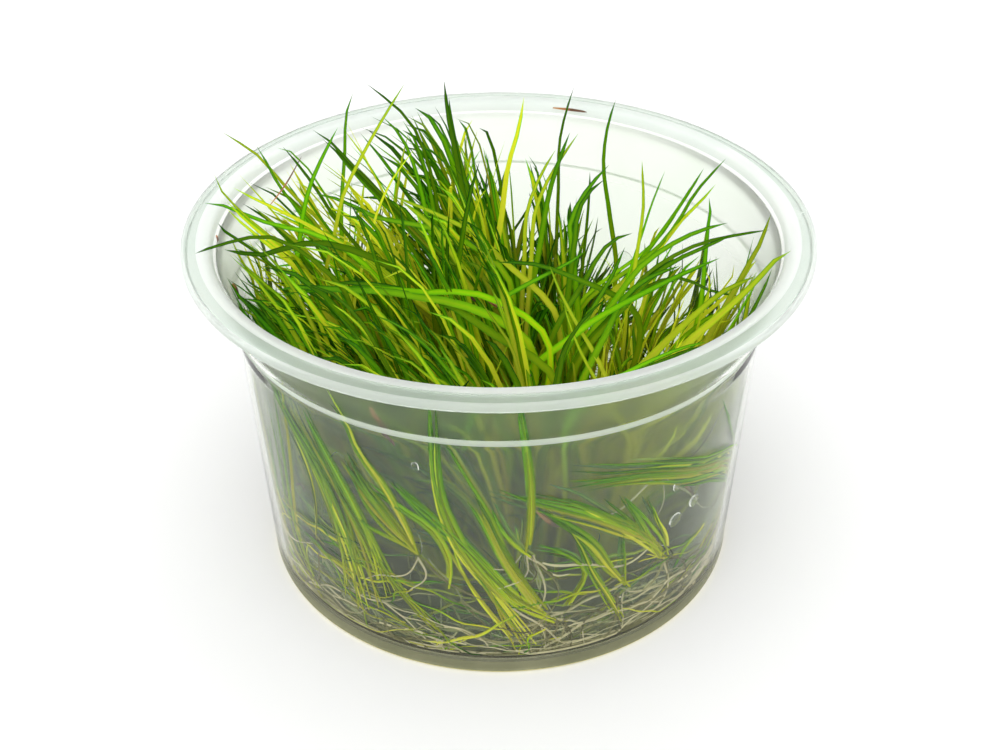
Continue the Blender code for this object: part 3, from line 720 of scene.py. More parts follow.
def held_in(paths, margin=1.2):
    """Paths pressed back inside the wall below the rim, and inside the rim's outline above it."""
    radius = np.hypot(paths[..., 0], paths[..., 1])
    height = np.maximum(paths[..., 2], GEL_TOP + 0.6)
    wall = inner_radius(np.minimum(height, CUP_HEIGHT)) - margin
    over = np.clip((height - CUP_HEIGHT - 0.4) / 2.0, 0.0, 1.0)
    limit = wall + (LIMIT_RADIUS - wall) * over
    soft = limit * np.tanh(np.maximum(radius / limit, 1e-6) ** PRESS) ** (1 / PRESS)
    scale = np.where(radius > 0.7 * limit, soft / np.maximum(radius, 1e-6), 1.0)
    return np.stack((paths[..., 0] * scale, paths[..., 1] * scale, np.minimum(height, TALLEST)), axis=-1)


def in_open_corner(paths):
    """Which blades pass through the open corner of the mouth."""
    return np.any(np.all((paths > OPEN_LOW) & (paths < OPEN_HIGH), axis=-1), axis=-1)


def standing_blades(x, y, sheaves, each, rng):
    """Blades of a standing tuft, in sheaves that grow the same way.

    A sheaf has its own direction round the crown, reach and height. A blade rises from the crown on a cubic
    curve whose tip end bends over with the lean, and a slow sideways wave is added along its length.
    """
    count = sheaves * each

    def of_sheaf(low, high):
        """One seeded number a sheaf, the same for its blades."""
        return np.repeat(rng.uniform(low, high, sheaves), each)

    def own(low, high):
        """One seeded number a blade, as a column."""
        return rng.uniform(low, high, count)[:, None, None]

    around = of_sheaf(0.0, tau) + rng.normal(0.0, 0.5, count)
    out = np.stack((np.cos(around), np.sin(around), np.zeros(count)), axis=-1)
    stray = of_sheaf(0.0, 1.0) > 0.74
    spread = np.where(stray, of_sheaf(10.0, 24.0), of_sheaf(1.0, 13.0)) * rng.uniform(0.7, 1.2, count)
    share = of_sheaf(0.6, 1.25) * rng.uniform(0.75, 1.15, count)
    share = np.where(stray, share * 0.35, share)
    bend = lean(np.full(count, x), np.full(count, y)) * share[:, None]
    crown = np.array([x, y, GEL_TOP + 0.8])
    start = crown + out * rng.uniform(0.2, 1.4, count)[:, None]
    tip = crown + bend + out * spread[:, None]
    rise = np.minimum(of_sheaf(0.34, 1.04), 1.0) * rng.uniform(0.82, 1.0, count)
    high = rng.uniform(0.0, 1.0, count) > 0.93
    rise = np.where(high, rise + 0.12, rise)
    tip[:, 2] = crown[2] + (top_height(tip[:, 0], tip[:, 1]) - crown[2]) * rise
    gone = tip - start
    outward = rng.uniform(-0.05, 0.15, count)
    upward = rng.uniform(0.3, 0.4, count)
    first = start + gone * np.stack((outward, outward, upward), axis=-1)
    arch = rng.uniform(0.72, 1.05, count)
    outward = rng.uniform(0.3, 0.5, count)
    second = start + gone * np.stack((outward, outward, arch), axis=-1)
    t = np.linspace(0.0, 1.0, RINGS)[None, :, None]
    paths = (1 - t) ** 3 * start[:, None] + 3 * t * (1 - t) ** 2 * first[:, None]
    paths = paths + 3 * t**2 * (1 - t) * second[:, None] + t**3 * tip[:, None]
    wave = np.sin(t * own(3.0, 7.0) + around[:, None, None]) * t
    across = np.stack((-out[:, 1], out[:, 0], out[:, 2]), axis=-1)
    paths = held_in(paths + across[:, None] * wave * own(0.2, 1.3))
    return paths[~in_open_corner(paths)]


def facing_any(count, rng):
    """Seeded level side vectors, one a blade."""
    angle = rng.uniform(0.0, tau, count)
    return np.stack((np.cos(angle), np.sin(angle), np.zeros(count)), axis=-1)


def facing_wall(paths):
    """Side vectors that lay a blade flat on the wall: square to its path and to the radius."""
    radial = paths * np.array([1.0, 1.0, 0.0])
    return unit(np.cross(np.gradient(paths, axis=1), radial))


def blade_numbers(count, low, high, turns, rng):
    """Seeded widths, depths, twists and tones for a number of blades."""
    width = rng.uniform(low, high, count)
    depth = width * rng.uniform(0.25, 0.42, count)
    twist = np.stack((rng.uniform(-0.3, 0.3, count), rng.uniform(-turns, turns, count)), axis=-1)
    return width, depth, twist, rng.uniform(0.0, 1.0, count)


def make_standing(leaf, bright):
    """Each standing tuft, in place of its solid. Those behind on the left, and on the right, are airy."""
    for k, (x, y) in enumerate(standing_spots()):
        rng = np.random.default_rng(STANDING_SEED + k)
        name = f"standing_grass_{k + 1:02d}"
        airy = (x < -6.0 and y > 2.0) or x > 14.0
        sheaves, each, widest, young, mat = (10, 4, 1.0, 0.18, bright) if airy else (12, 6, 1.3, 0.0, leaf)
        paths = standing_blades(x, y, sheaves, each, rng)
        width, depth, twist, tone = blade_numbers(len(paths), 0.5, widest, 1.2, rng)
        tone = tone ** 0.6 if airy else tone
        side = facing_any(len(paths), rng)
        mesh = sweep(name, paths, side, width, depth, twist, tone, belly=0.5, young=young)
        add_piece(name, mesh, mat, "grass", f"standing_tuft_{k + 1:02d}")


# width of the narrow blades that a broad one is made of
NARROW = 0.68

# blades that the photo shows one by one: width in mm, tone, depth y of root and tip, photo points
TALL_BLADES = (
    (0.75, 0.55, 0, 0, ((335, 233), (343, 196), (360, 160), (384, 117), (405, 83))),
    (0.8, 0.5, 0, 2, ((300, 239), (304, 209), (313, 178), (325, 152), (338, 127))),
    (0.7, 0.4, -4, -2, ((372, 233), (376, 217), (390, 184), (415, 148))),
    (0.7, 0.3, 8, 10, ((294, 195), (278, 178), (261, 158), (222, 132))),
    (0.9, 0.2, 6, 8, ((298, 208), (278, 184), (270, 168), (256, 145))),
    (1.5, 0.15, 2, 6, ((353, 247), (333, 223), (311, 190), (294, 168), (278, 150))),
    (2.2, 0.1, 4, 10, ((425, 243), (394, 209), (370, 184), (349, 162), (335, 145), (313, 129))),
    (2.0, 0.3, 3, 9, ((432, 250), (398, 216), (374, 190), (352, 165))),
    (2.3, 0.05, 8, 14, ((431, 213), (425, 184), (415, 152), (402, 127), (382, 109), (360, 93))),
    (1.6, 0.12, 9, 14, ((437, 215), (430, 190), (421, 158), (409, 134))),
    (0.8, 0.25, 12, 16, ((345, 150), (347, 111), (353, 93))),
    (1.3, 0.1, 12, 15, ((462, 190), (455, 152), (447, 111), (444, 80))),
    (1.2, 0.2, 12, 16, ((470, 200), (459, 158), (451, 120), (449, 98))),
    (1.7, 0.85, -6, -2, ((313, 290), (302, 270), (266, 239), (237, 215), (213, 188), (208, 176))),
    (1.6, 0.95, -7, -3, ((322, 296), (306, 276), (272, 246), (243, 222), (228, 207))),
    (1.5, 0.6, -5, -1, ((330, 290), (300, 256), (270, 232), (246, 214))),
    (0.9, 0.3, -4, 0, ((306, 231), (282, 227), (251, 217), (225, 206), (203, 203))),
    (0.8, 0.05, -15, -14, ((262, 236), (251, 237), (213, 247), (187, 255))),
    (1.1, 0.1, -9, -6, ((353, 250), (323, 243), (294, 245), (268, 254), (217, 250))),
    (2.1, 0.97, -3, 3, ((384, 278), (353, 254), (319, 233), (282, 213), (257, 201), (233, 188))),
    (1.7, 0.9, -4, 2, ((392, 278), (362, 253), (330, 234), (300, 220))),
    (1.2, 0.15, -17, -14, ((470, 292), (425, 292), (384, 288), (343, 288), (302, 292), (281, 295))),
    (1.3, 0.3, -17, -15, ((455, 303), (420, 297), (380, 291), (340, 290), (300, 287), (276, 290))),
    (1.5, 0.25, -24, -18, ((380, 368), (364, 341), (343, 315), (323, 300), (294, 296))),
    (1.4, 0.85, -23, -18, ((388, 362), (372, 336), (350, 312), (334, 300))),
    (0.9, 0.45, -8, 0, ((425, 290), (404, 266), (384, 250), (364, 227), (337, 208))),
    (1.1, 0.92, -3, 2, ((500, 258), (474, 233), (451, 221), (425, 209), (390, 195))),
    (1.0, 0.35, -2, 2, ((435, 229), (404, 223), (374, 217), (343, 201), (313, 193))),
    (1.2, 0.9, -10, -4, ((492, 330), (470, 285), (452, 252), (428, 222), (400, 200))),
    (1.3, 0.2, -18, -14, ((487, 330), (450, 305), (410, 292), (360, 283), (330, 283))),
    (0.9, 0.5, 6, 10, ((496, 250), (502, 213), (508, 166), (519, 127), (524, 97))),
    (0.9, 0.12, 22, 26, ((558, 190), (560, 137), (566, 111), (574, 87))),
    (1.0, 0.1, 29, 32, ((610, 213), (604, 160), (608, 127), (616, 99))),
    (1.4, 0.97, 2, 8, ((527, 250), (529, 213), (539, 184), (553, 158), (572, 129))),
    (1.2, 0.35, 3, 8, ((541, 240), (550, 190), (563, 150), (570, 132))),
    (1.3, 0.3, 0, 5, ((572, 246), (570, 225), (578, 205), (592, 184), (609, 165))),
    (1.0, 0.2, 0, 4, ((575, 240), (578, 215), (586, 196), (605, 179))),
    (0.7, 0.9, 6, 8, ((637, 254), (640, 235), (643, 213), (642, 160))),
    (0.6, 0.6, 8, 10, ((643, 232), (651, 207), (665, 171))),
    (1.4, 0.2, 11, 15, ((637, 262), (653, 250), (674, 225), (694, 192), (725, 157))),
    (1.2, 0.3, 11, 15, ((640, 268), (662, 246), (686, 216), (700, 203), (716, 184))),
    (1.0, 0.15, 12, 15, ((648, 250), (672, 217), (690, 190), (704, 168))),
    (0.8, 0.25, 4, 6, ((706, 250), (710, 213), (712, 203), (709, 197))),
    (1.9, 0.05, -8, -2, ((622, 300), (640, 275), (665, 256), (694, 241), (735, 230), (771, 224))),
    (1.7, 0.15, -9, -4, ((630, 300), (648, 280), (672, 263), (710, 246), (736, 235))),
    (1.3, 0.5, -14, -8, ((576, 333), (592, 321), (620, 305), (653, 288), (686, 272), (720, 258))),
    (1.2, 0.1, -12, -7, ((610, 325), (622, 300), (650, 277), (680, 266))),
    (1.3, 0.96, -15, -13, ((735, 302), (748, 290), (761, 278), (780, 260), (794, 251))),
    (1.3, 0.88, -18, -12, ((645, 362), (670, 337), (694, 315), (725, 290), (757, 276))),
    (0.9, 0.35, -6, -3, ((740, 280), (750, 262), (759, 247), (771, 214))),
    (0.8, 0.1, -18, -15, ((765, 301), (774, 285), (780, 270))),
    (1.1, 0.2, -4, 0, ((588, 275), (600, 254), (612, 241), (633, 233))),
    (0.9, 0.1, -8, -5, ((598, 300), (612, 276), (625, 247))),
    (0.9, 0.1, -6, -6, ((570, 276), (555, 270), (539, 265), (497, 262))),
    (0.9, 0.15, -6, -4, ((541, 277), (567, 264), (586, 251))),
    (0.8, 0.98, -10, -6, ((572, 315), (561, 294), (549, 264))),
    (0.8, 0.2, -4, -4, ((680, 278), (714, 292), (741, 296))),
    (1.6, 0.1, -32, -30, ((655, 357), (690, 343), (716, 339))),
    (0.7, 0.9, -26, -22, ((596, 380), (580, 350), (570, 325), (563, 300))),
    (1.5, 0.15, -30, -26, ((560, 380), (566, 352), (585, 322), (610, 300))),
    (0.7, 0.93, -24, -20, ((520, 378), (510, 345), (492, 318), (480, 300))),
    (1.4, 0.3, -28, -25, ((450, 378), (425, 350), (400, 330), (372, 318))),
)


def tall_path(points):
    """A blade through its points, the first of them lowest.

    Below the first point it goes on the way it came for a while, and then bends down to its foot.
    """
    low = points[0]
    way = unit(low - points[1])
    way[2] = min(way[2], -0.55)
    below = low + unit(way) * min(12.0, 0.45 * (low[2] - 4.0))
    share = min(1.0, 29.0 / max(np.hypot(below[0], below[1]), 1.0)) * 0.9
    foot = np.array([below[0] * share, below[1] * share, GEL_TOP + 0.9])
    knee = foot + (below - foot) * np.array([0.45, 0.45, 0.5])
    return through([foot, knee, below, *points], TALL_RINGS)


def make_tall(leaf):
    """The blades that stand out above the rim, each from the floor up through its photo points.

    The photo points are laid on a plane whose depth goes from the root's to the tip's. A broad one is two or
    more narrow blades side by side across the view: blade i of n is shifted by (i - (n - 1) / 2) times their
    spacing, and each ends at its own share of the length.
    """
    rng = np.random.default_rng(TALL_SEED)
    eye = camera_frame()[0]
    paths, widths, tones = [], [], []
    for width, tone, root, tip, spots in TALL_BLADES:
        depths = np.linspace(root, tip, len(spots))
        path = tall_path([at_most(spot, depth, TALLEST - 0.3) for spot, depth in zip(spots, depths)])
        number = max(1, int(width / NARROW))
        t = np.linspace(0.0, 1.0, TALL_RINGS)[:, None]
        across = unit(np.cross(np.gradient(path, axis=0), path - eye))
        for i in range(number):
            shift = (i - (number - 1) / 2) * width / number * rng.uniform(0.85, 1.35)
            fan = rng.uniform(-1.2, 1.2) if number > 1 else 0.0
            end = rng.uniform(0.82, 1.0) if i else 1.0
            own = path + across * (shift * (0.5 + 0.7 * t) + fan * t**2)
            place = np.linspace(0.0, end, TALL_RINGS)
            paths.append(np.stack([np.interp(place, t[:, 0], line) for line in own.T], axis=1))
            widths.append(max(width / number, 0.62) * rng.uniform(0.9, 1.2))
            tones.append(np.clip(tone + rng.uniform(-0.3, 0.3), 0.0, 1.0))
    paths = held_in(np.array(paths))
    widths = np.array(widths)
    twist = rng.uniform(-0.5, 0.5, (len(paths), 2))
    side = unit(np.cross(np.gradient(paths, axis=1), paths - eye))
    tones = np.array(tones)
    mesh = sweep("tall_blades", paths, side, widths, widths * 0.3, twist, tones, belly=0.6, young=0.1)
    add_piece("tall_blades", mesh, leaf, "grass")


# bundles on the front wall: number of the fan, number of blades, widths in mm, tones, then the bundle's left
# and right outlines from the foot to the tips, as photo points
WALL_BUNDLES = (
    (1, 15, (0.6, 1.1), (0.3, 1.0), ((352, 606), (335, 540), (312, 470), (276, 392)),
     ((404, 606), (380, 540), (338, 468), (300, 402))),
    (1, 4, (0.5, 0.9), (0.1, 0.9), ((440, 634), (387, 573), (349, 502), (286, 405)),
     ((448, 634), (395, 573), (357, 500), (306, 412))),
    (1, 3, (0.5, 0.9), (0.5, 1.0), ((318, 524), (316, 495), (306, 455), (272, 392)),
     ((322, 560), (322, 500), (314, 462), (290, 400))),
    (2, 12, (0.7, 1.2), (0.2, 1.0), ((300, 590), (281, 520), (268, 450), (252, 380)),
     ((330, 600), (300, 520), (286, 450), (272, 385))),
    (3, 9, (0.8, 1.5), (0.35, 1.0), ((420, 552), (392, 530), (368, 500), (352, 470), (338, 446)),
     ((420, 552), (408, 518), (386, 475), (358, 437), (338, 395))),
    (3, 2, (1.0, 1.4), (0.2, 0.9), ((445, 594), (447, 560), (432, 530), (399, 504), (372, 484)),
     ((450, 590), (452, 558), (438, 528), (404, 502), (380, 482))),
    (4, 9, (0.8, 1.5), (0.1, 0.8), ((553, 620), (505, 600), (460, 548), (431, 525), (397, 489)),
     ((560, 614), (520, 592), (478, 552), (446, 520), (404, 486))),
    (4, 6, (0.6, 1.1), (0.4, 1.0), ((516, 650), (480, 600), (458, 560), (440, 520)),
     ((540, 640), (505, 590), (480, 560), (462, 530))),
    (5, 5, (1.0, 1.6), (0.3, 0.9), ((500, 602), (469, 568), (448, 533), (438, 502), (432, 456), (430, 418)),
     ((514, 596), (480, 562), (458, 528), (444, 496), (438, 456), (436, 418))),
    (5, 4, (1.1, 1.7), (0.3, 1.0), ((540, 617), (514, 577), (500, 552), (486, 520), (462, 478), (444, 447)),
     ((553, 612), (525, 577), (508, 550), (494, 516), (470, 478), (450, 444))),
    (6, 13, (0.8, 1.4), (0.5, 1.0), ((722, 530), (731, 495), (722, 470), (680, 474), (640, 474), (577, 481)),
     ((738, 540), (740, 490), (726, 463), (690, 459), (650, 460), (606, 461))),
    (6, 7, (0.6, 1.0), (0.1, 0.8), ((690, 590), (712, 540), (724, 500), (712, 478), (672, 486)),
     ((716, 580), (732, 530), (736, 490), (720, 468), (690, 470))),
    (6, 1, (0.7, 0.8), (0.2, 0.3), ((662, 466), (700, 457), (720, 445), (735, 434), (742, 423)),
     ((662, 466), (700, 457), (720, 445), (735, 434), (742, 423))),
    (7, 9, (0.8, 1.5), (0.2, 1.0), ((668, 560), (634, 544), (590, 522), (547, 509), (502, 495)),
     ((656, 540), (640, 524), (610, 512), (578, 499), (536, 492))),
    (7, 6, (0.7, 1.3), (0.2, 0.9), ((656, 556), (642, 540), (626, 515), (612, 500), (604, 490)),
     ((666, 552), (664, 538), (652, 515), (640, 500), (630, 486))),
    (7, 6, (0.8, 1.4), (0.3, 1.0), ((622, 583), (604, 567), (580, 540), (556, 522), (536, 511)),
     ((630, 586), (614, 567), (596, 542), (572, 526), (548, 512))),
    (7, 4, (0.6, 1.1), (0.3, 0.9), ((614, 622), (597, 587), (586, 564), (578, 543), (566, 523)),
     ((628, 619), (612, 590), (596, 568), (586, 545), (572, 524))),
    (2, 9, (0.8, 1.4), (0.2, 1.0), ((276, 590), (262, 520), (254, 460), (250, 400)),
     ((290, 600), (276, 530), (264, 460), (256, 385))),
    (6, 7, (0.7, 1.2), (0.1, 0.9), ((706, 590), (716, 540), (724, 480), (728, 420)),
     ((716, 570), (726, 520), (734, 460), (741, 400))),
    (8, 2, (1.1, 1.5), (0.8, 1.0), ((622, 583), (621, 566), (621, 552), (619, 535)),
     ((624, 583), (624, 566), (625, 552), (622, 534))),
    (8, 3, (1.2, 1.9), (0.4, 0.9), ((525, 550), (528, 515), (528, 483), (524, 447), (516, 405)),
     ((530, 550), (533, 515), (532, 483), (528, 447), (522, 405))),
    (8, 3, (0.7, 1.1), (0.3, 0.9), ((557, 610), (573, 590), (582, 572), (576, 562), (556, 552), (538, 549)),
     ((562, 612), (578, 590), (586, 572), (580, 560), (558, 548), (540, 545))),
    (8, 2, (0.8, 1.1), (0.3, 0.8), ((532, 556), (515, 543), (502, 528), (494, 510)),
     ((540, 560), (522, 546), (508, 530), (498, 512))),
)

# fans round the back, as in the solids: angle and height of the foot, angle and height of the middle tip,
# half spread of the tips along the wall, and how far the middle bows up
BACK_FANS = (
    (94.0, 8.0, 85.0, 44.0, 6.0, 0.0),
    (128.0, 8.0, 113.0, 40.0, 6.0, 1.0),
    (162.0, 9.0, 146.0, 34.0, 5.0, 2.0),
    (196.0, 8.0, 183.0, 46.0, 6.0, 0.0),
    (230.0, 8.0, 217.0, 40.0, 6.0, 1.0),
    (264.0, 9.0, 250.0, 45.0, 6.0, 2.0),
)

# bundles of each of them: turn from the fan's own angle, share of its height, number of blades
BACK_BUNDLES = ((0.0, 1.0, 13), (-9.0, 0.7, 6), (12.0, 0.8, 7))
BACK_WIDTHS, BACK_TONES = (0.7, 1.4), (0.1, 1.0)
FRONT_FANS = 8

# what the rows are drawn as: how many times the blades, shares of the least and greatest width, share of the
# least tone. An outline is read at RAIL places.
MORE_BLADES = 1.7
NARROWER = (0.62, 0.68)
LOW_TONE = 0.3
RAIL = 60


def lay_on_wall(angles, heights, inset):
    """Points of the unrolled wall, angle in degrees and height, laid round the inside of the cup."""
    turn = np.radians(angles)
    heights = np.maximum(heights, GEL_TOP)
    ring = inner_radius(heights) - inset
    return np.stack((ring * np.sin(turn), -ring * np.cos(turn), heights), axis=-1)


def degrees_round(across, height):
    """Degrees round the cup for a distance along its wall at a height."""
    return across / inner_radius(height) * 180 / pi


def unrolled(spot, inset=BLADE_INSET):
    """Angle from the front, in degrees, and height of the place on the wall under a photo point."""
    point = on_wall(spot, inset)
    return np.array([np.degrees(np.arctan2(point[0], -point[1])), point[2]])


def bundle_paths(left, right, count, rng):
    """Blades between a bundle's two outlines, which are points of the unrolled wall.

    Each keeps its share of the way across, drifts from it a little, and ends at its own share of the length.
    """
    share = (np.arange(count) + rng.uniform(0.2, 0.8, count)) / count
    share = share[rng.permutation(count)][:, None, None]
    low = rng.uniform(0.0, 0.14, count)
    high = rng.uniform(0.62, 1.0, count)
    place = (low[:, None] + (high - low)[:, None] * np.linspace(0.0, 1.0, RINGS)) * (RAIL - 1)
    base = np.minimum(place.astype(int), RAIL - 2)
    part = (place - base)[..., None]
    sides = []
    for outline in (left, right):
        outline = np.concatenate((outline, outline[-1:] + (outline[-1:] - outline[-2:-1]) * 0.5))
        rail = through(outline, RAIL)
        sides.append(rail[base] + (rail[base + 1] - rail[base]) * part)
    t = np.linspace(0.0, 1.0, RINGS)[None, :, None]
    drift = share + rng.normal(0.0, 0.42, (count, 1, 1)) * t
    flat = sides[0] + (sides[1] - sides[0]) * drift
    wave = np.sin(t * rng.uniform(2.0, 6.0, (count, 1, 1)) + rng.uniform(0.0, tau, (count, 1, 1)))
    return flat + wave * rng.uniform(-0.7, 0.7, (count, 1, 2)) * t


def make_wall_bundles(leaf):
    """The fans on the wall: those in front through their photo points, those behind as in the solids."""
    fans = {k: [] for k in range(1, FRONT_FANS + len(BACK_FANS) + 1)}
    rng = np.random.default_rng(FAN_SEED)

    def add_bundle(k, left, right, count, width, tone):
        """Add a bundle to a fan, with more blades than its row says, and narrower ones."""
        count = int(count * MORE_BLADES)
        flat = bundle_paths(left, right, count, rng)
        loose = rng.uniform(0.0, 1.0, (count, 1)) > 0.8
        depth = np.where(loose, rng.uniform(0.7, 1.3, (count, 1)), rng.uniform(0.14, 0.38, (count, 1)))
        depth = depth + rng.uniform(-0.06, 0.08, (count, 1)) * np.linspace(0, 1, RINGS)
        lines = lay_on_wall(flat[..., 0], flat[..., 1], depth)
        widths = rng.uniform(width[0] * NARROWER[0], width[1] * NARROWER[1], count)
        fans[k].append((lines, widths, rng.uniform(tone[0] * LOW_TONE, tone[1], count)))

    for k, count, width, tone, left, right in WALL_BUNDLES:
        outlines = [np.array([unrolled(spot) for spot in outline]) for outline in (left, right)]
        add_bundle(k, *outlines, count, width, tone)
    for k, (angle, height, tip_angle, tip_height, spread, bow) in enumerate(BACK_FANS):
        half = np.array([spread * 1.35, 2.5])
        for shift, size, count in BACK_BUNDLES:
            foot = np.array([angle + shift, height])
            tip = np.array([tip_angle + shift * 1.4, height + (tip_height - height) * size])
            middle = (foot + tip) / 2 + np.array([-2.0, bow + 2.0])
            left = np.array([foot - 1.2, middle - half * 0.5, tip - half])
            right = np.array([foot + 1.2, middle + half * 0.5, tip + half * 0.8])
            add_bundle(FRONT_FANS + 1 + k, left, right, count, BACK_WIDTHS, BACK_TONES)
    for k, bundles in fans.items():
        name = f"wall_grass_{k:02d}"
        lines, width, tone = (np.concatenate(parts) for parts in zip(*bundles))
        twist = np.stack((rng.uniform(-0.5, 0.5, len(width)), rng.uniform(-0.8, 0.8, len(width))), axis=-1)
        mesh = sweep(name, lines, facing_wall(lines), width, width * 0.3, twist, tone, root=0.45, belly=0.45,
                     ripe=0.24, young=0.14)
        add_piece(name, mesh, leaf, "grass", f"wall_tuft_{k:02d}")


# roots and low strands: how many run along the wall, how many hang from each fan's crown
RUNNING = 330
ROOTS_EACH = 6
WALK_HEIGHT = 8.0


def wall_walks(rings, low, high, length, rng, spread=0.3, curl=1.1):
    """Curling lines on the unrolled wall: a heading that swings slowly is summed into a path, in mm."""
    each = (RUNNING, 1)
    heading = rng.choice((0.0, pi), RUNNING) + rng.normal(0.0, spread, RUNNING)
    most = rng.uniform(0.3 * curl, curl, each)
    speed = rng.uniform(2.0, 7.0, each)
    swing = most * np.sin(np.linspace(0.0, 1.0, rings) * speed + rng.uniform(0.0, tau, each))
    way = heading[:, None] + swing
    step = rng.uniform(*length, each) / rings
    across = np.cumsum(np.cos(way) * step, axis=1)
    up = np.cumsum(np.sin(way) * step * 0.55, axis=1) + rng.uniform(low, high, each)
    up = np.clip(up, FLOOR + 0.8, None) + 0.25 * np.sin(across)
    return rng.uniform(0.0, 360.0, each) + degrees_round(across, WALK_HEIGHT), up


def crown_roots(rings, rng):
    """Roots that hang from the crown of each fan: down at first, then swinging over to one side, in mm."""
    crowns = [(unrolled(left[0]) + unrolled(right[0])) / 2 for *_, left, right in WALL_BUNDLES]
    crowns += [np.array(row[:2]) for row in BACK_FANS]
    start = np.repeat(np.array(crowns), ROOTS_EACH, axis=0)
    each = (len(start), 1)
    t = np.linspace(0.0, 1.0, rings)[None]
    side = rng.choice((-1.0, 1.0), each)
    turn = side * t ** rng.uniform(0.8, 2.2, each) * rng.uniform(0.5, 1.6, each)
    way = -pi / 2 + rng.normal(0.0, 0.45, each) + turn + 0.35 * np.sin(t * rng.uniform(3.0, 9.0, each))
    step = rng.uniform(7.0, 24.0, each) / rings
    across = np.cumsum(np.cos(way) * step, axis=1) + rng.normal(0.0, 1.2, each)
    up = start[:, 1:] + np.cumsum(np.sin(way) * step, axis=1)
    floor = FLOOR + 1.0 + rng.uniform(0.0, 2.5, each)
    up = floor + np.logaddexp(0.0, (up - floor) * 1.5) / 1.5
    return start[:, :1] + degrees_round(across, WALK_HEIGHT), up


def make_roots(mat):
    """Fine pale roots: some hang from the crowns of the fans, others run along the foot of the wall."""
    rng = np.random.default_rng(ROOT_SEED)
    rings = 22
    running = wall_walks(rings, 1.0, 10.0, (14.0, 46.0), rng)
    angles, up = (np.concatenate(pair) for pair in zip(running, crown_roots(rings, rng)))
    count = len(angles)
    rolling = 0.08 * np.sin(np.linspace(0, 6, rings)[None] + angles[:, :1])
    paths = lay_on_wall(angles, up, rng.uniform(0.45, 1.0, (count, 1)) ** 2 + rolling)
    width = rng.uniform(0.16, 0.42, count)
    tone = rng.uniform(0.0, 1.0, count)
    still = np.zeros((count, 2))
    side = facing_wall(paths)
    mesh = sweep("root_tangle", paths, side, width, width * 0.9, still, tone, root=0.7, belly=0.1)
    add_piece("root_tangle", mesh, mat, "root")


def make_low_strands(leaf):
    """Thin olive blades that lie low along the wall among the roots."""
    rng = np.random.default_rng(STRAND_SEED)
    angles, up = wall_walks(16, 4.0, 20.0, (10.0, 28.0), rng, 0.75, 0.5)
    paths = lay_on_wall(angles, up, rng.uniform(0.4, 1.2, (RUNNING, 1)) ** 2)
    width = rng.uniform(0.28, 0.6, RUNNING)
    tone = rng.uniform(0.0, 1.0, RUNNING)
    twist = rng.uniform(-1.0, 1.0, (RUNNING, 2))
    side = facing_wall(paths)
    mesh = sweep("low_strands", paths, side, width, width * 0.35, twist, tone, root=0.5, belly=0.4)
    add_piece("low_strands", mesh, leaf, "grass")


# single dead blades: width, depth y, or "wall" in front or "far" for the wall behind, photo points
DEAD_BLADES = (
    (0.9, "wall", ((369, 408), (377, 422), (386, 436), (394, 448))),
    (0.8, "wall", ((288, 492), (295, 485), (302, 486), (304, 494))),
    (1.0, "wall", ((536, 511), (545, 518), (556, 525), (566, 527))),
    (0.9, "wall", ((682, 472), (686, 482), (692, 491), (697, 499))),
    (0.45, "wall", ((722, 440), (727, 428), (731, 415), (734, 404))),
    (0.9, -12, ((458, 288), (467, 295), (476, 302))),
    (0.9, -13, ((488, 300), (496, 305), (504, 309))),
    (0.6, 6, ((270, 205), (285, 185), (302, 156))),
    (1.2, "far", ((229, 285), (232, 290), (236, 300))),
    (0.6, "far", ((206, 236), (210, 238), (213, 242))),
    (0.5, "far", ((556, 101), (565, 102), (574, 104), (582, 106), (590, 109))),
)


def make_dead(mat):
    """The few dead red-brown blades, the last of them the dry one that lies along the rim behind."""
    paths = []
    for _, depth, spots in DEAD_BLADES:
        if depth in ("wall", "far"):
            points = [on_wall(spot, 0.7, depth == "far") for spot in spots]
        else:
            points = [at_depth(spot, depth) for spot in spots]
        paths.append(through(points, 12))
    paths = held_in(np.array(paths), 0.5)
    width = np.array([row[0] for row in DEAD_BLADES])
    rng = np.random.default_rng(DEAD_SEED)
    twist = rng.uniform(-0.6, 0.6, (len(width), 2))
    tone = rng.uniform(0.0, 1.0, len(width))
    side = facing_wall(paths)
    mesh = sweep("dead_blades", paths, side, width, width * 0.3, twist, tone, root=0.4, belly=0.5)
    add_piece("dead_blades", mesh, mat, "dead_leaf")


# drops of water on the inside of the wall: photo point, half sizes in mm along and up the wall, thickness,
# tilt in degrees, how wavy the outline is
DROPS = (
    ((673, 518), 1.4, 1.3, 0.5, 0, 0.05),
    ((691, 499), 1.2, 1.2, 0.45, 0, 0.05),
    ((675, 485), 0.9, 0.9, 0.4, 0, 0.05),
    ((416, 465), 0.6, 0.8, 0.35, 20, 0.1),
)
DROPS_BEHIND = 16

# edges of water between the blades, as photo points
WATER_LINES = (
    ((392, 562), (402, 588), (424, 610), (455, 623), (480, 622)),
    ((414, 522), (419, 536), (422, 549), (420, 555)),
    ((328, 468), (331, 457), (339, 452), (346, 457)),
    ((540, 500), (550, 512), (562, 516), (576, 512)),
    ((604, 590), (618, 596), (634, 592), (644, 578)),
    ((640, 540), (652, 546), (664, 545), (674, 556)),
    ((520, 560), (518, 590), (536, 612), (560, 614)),
)


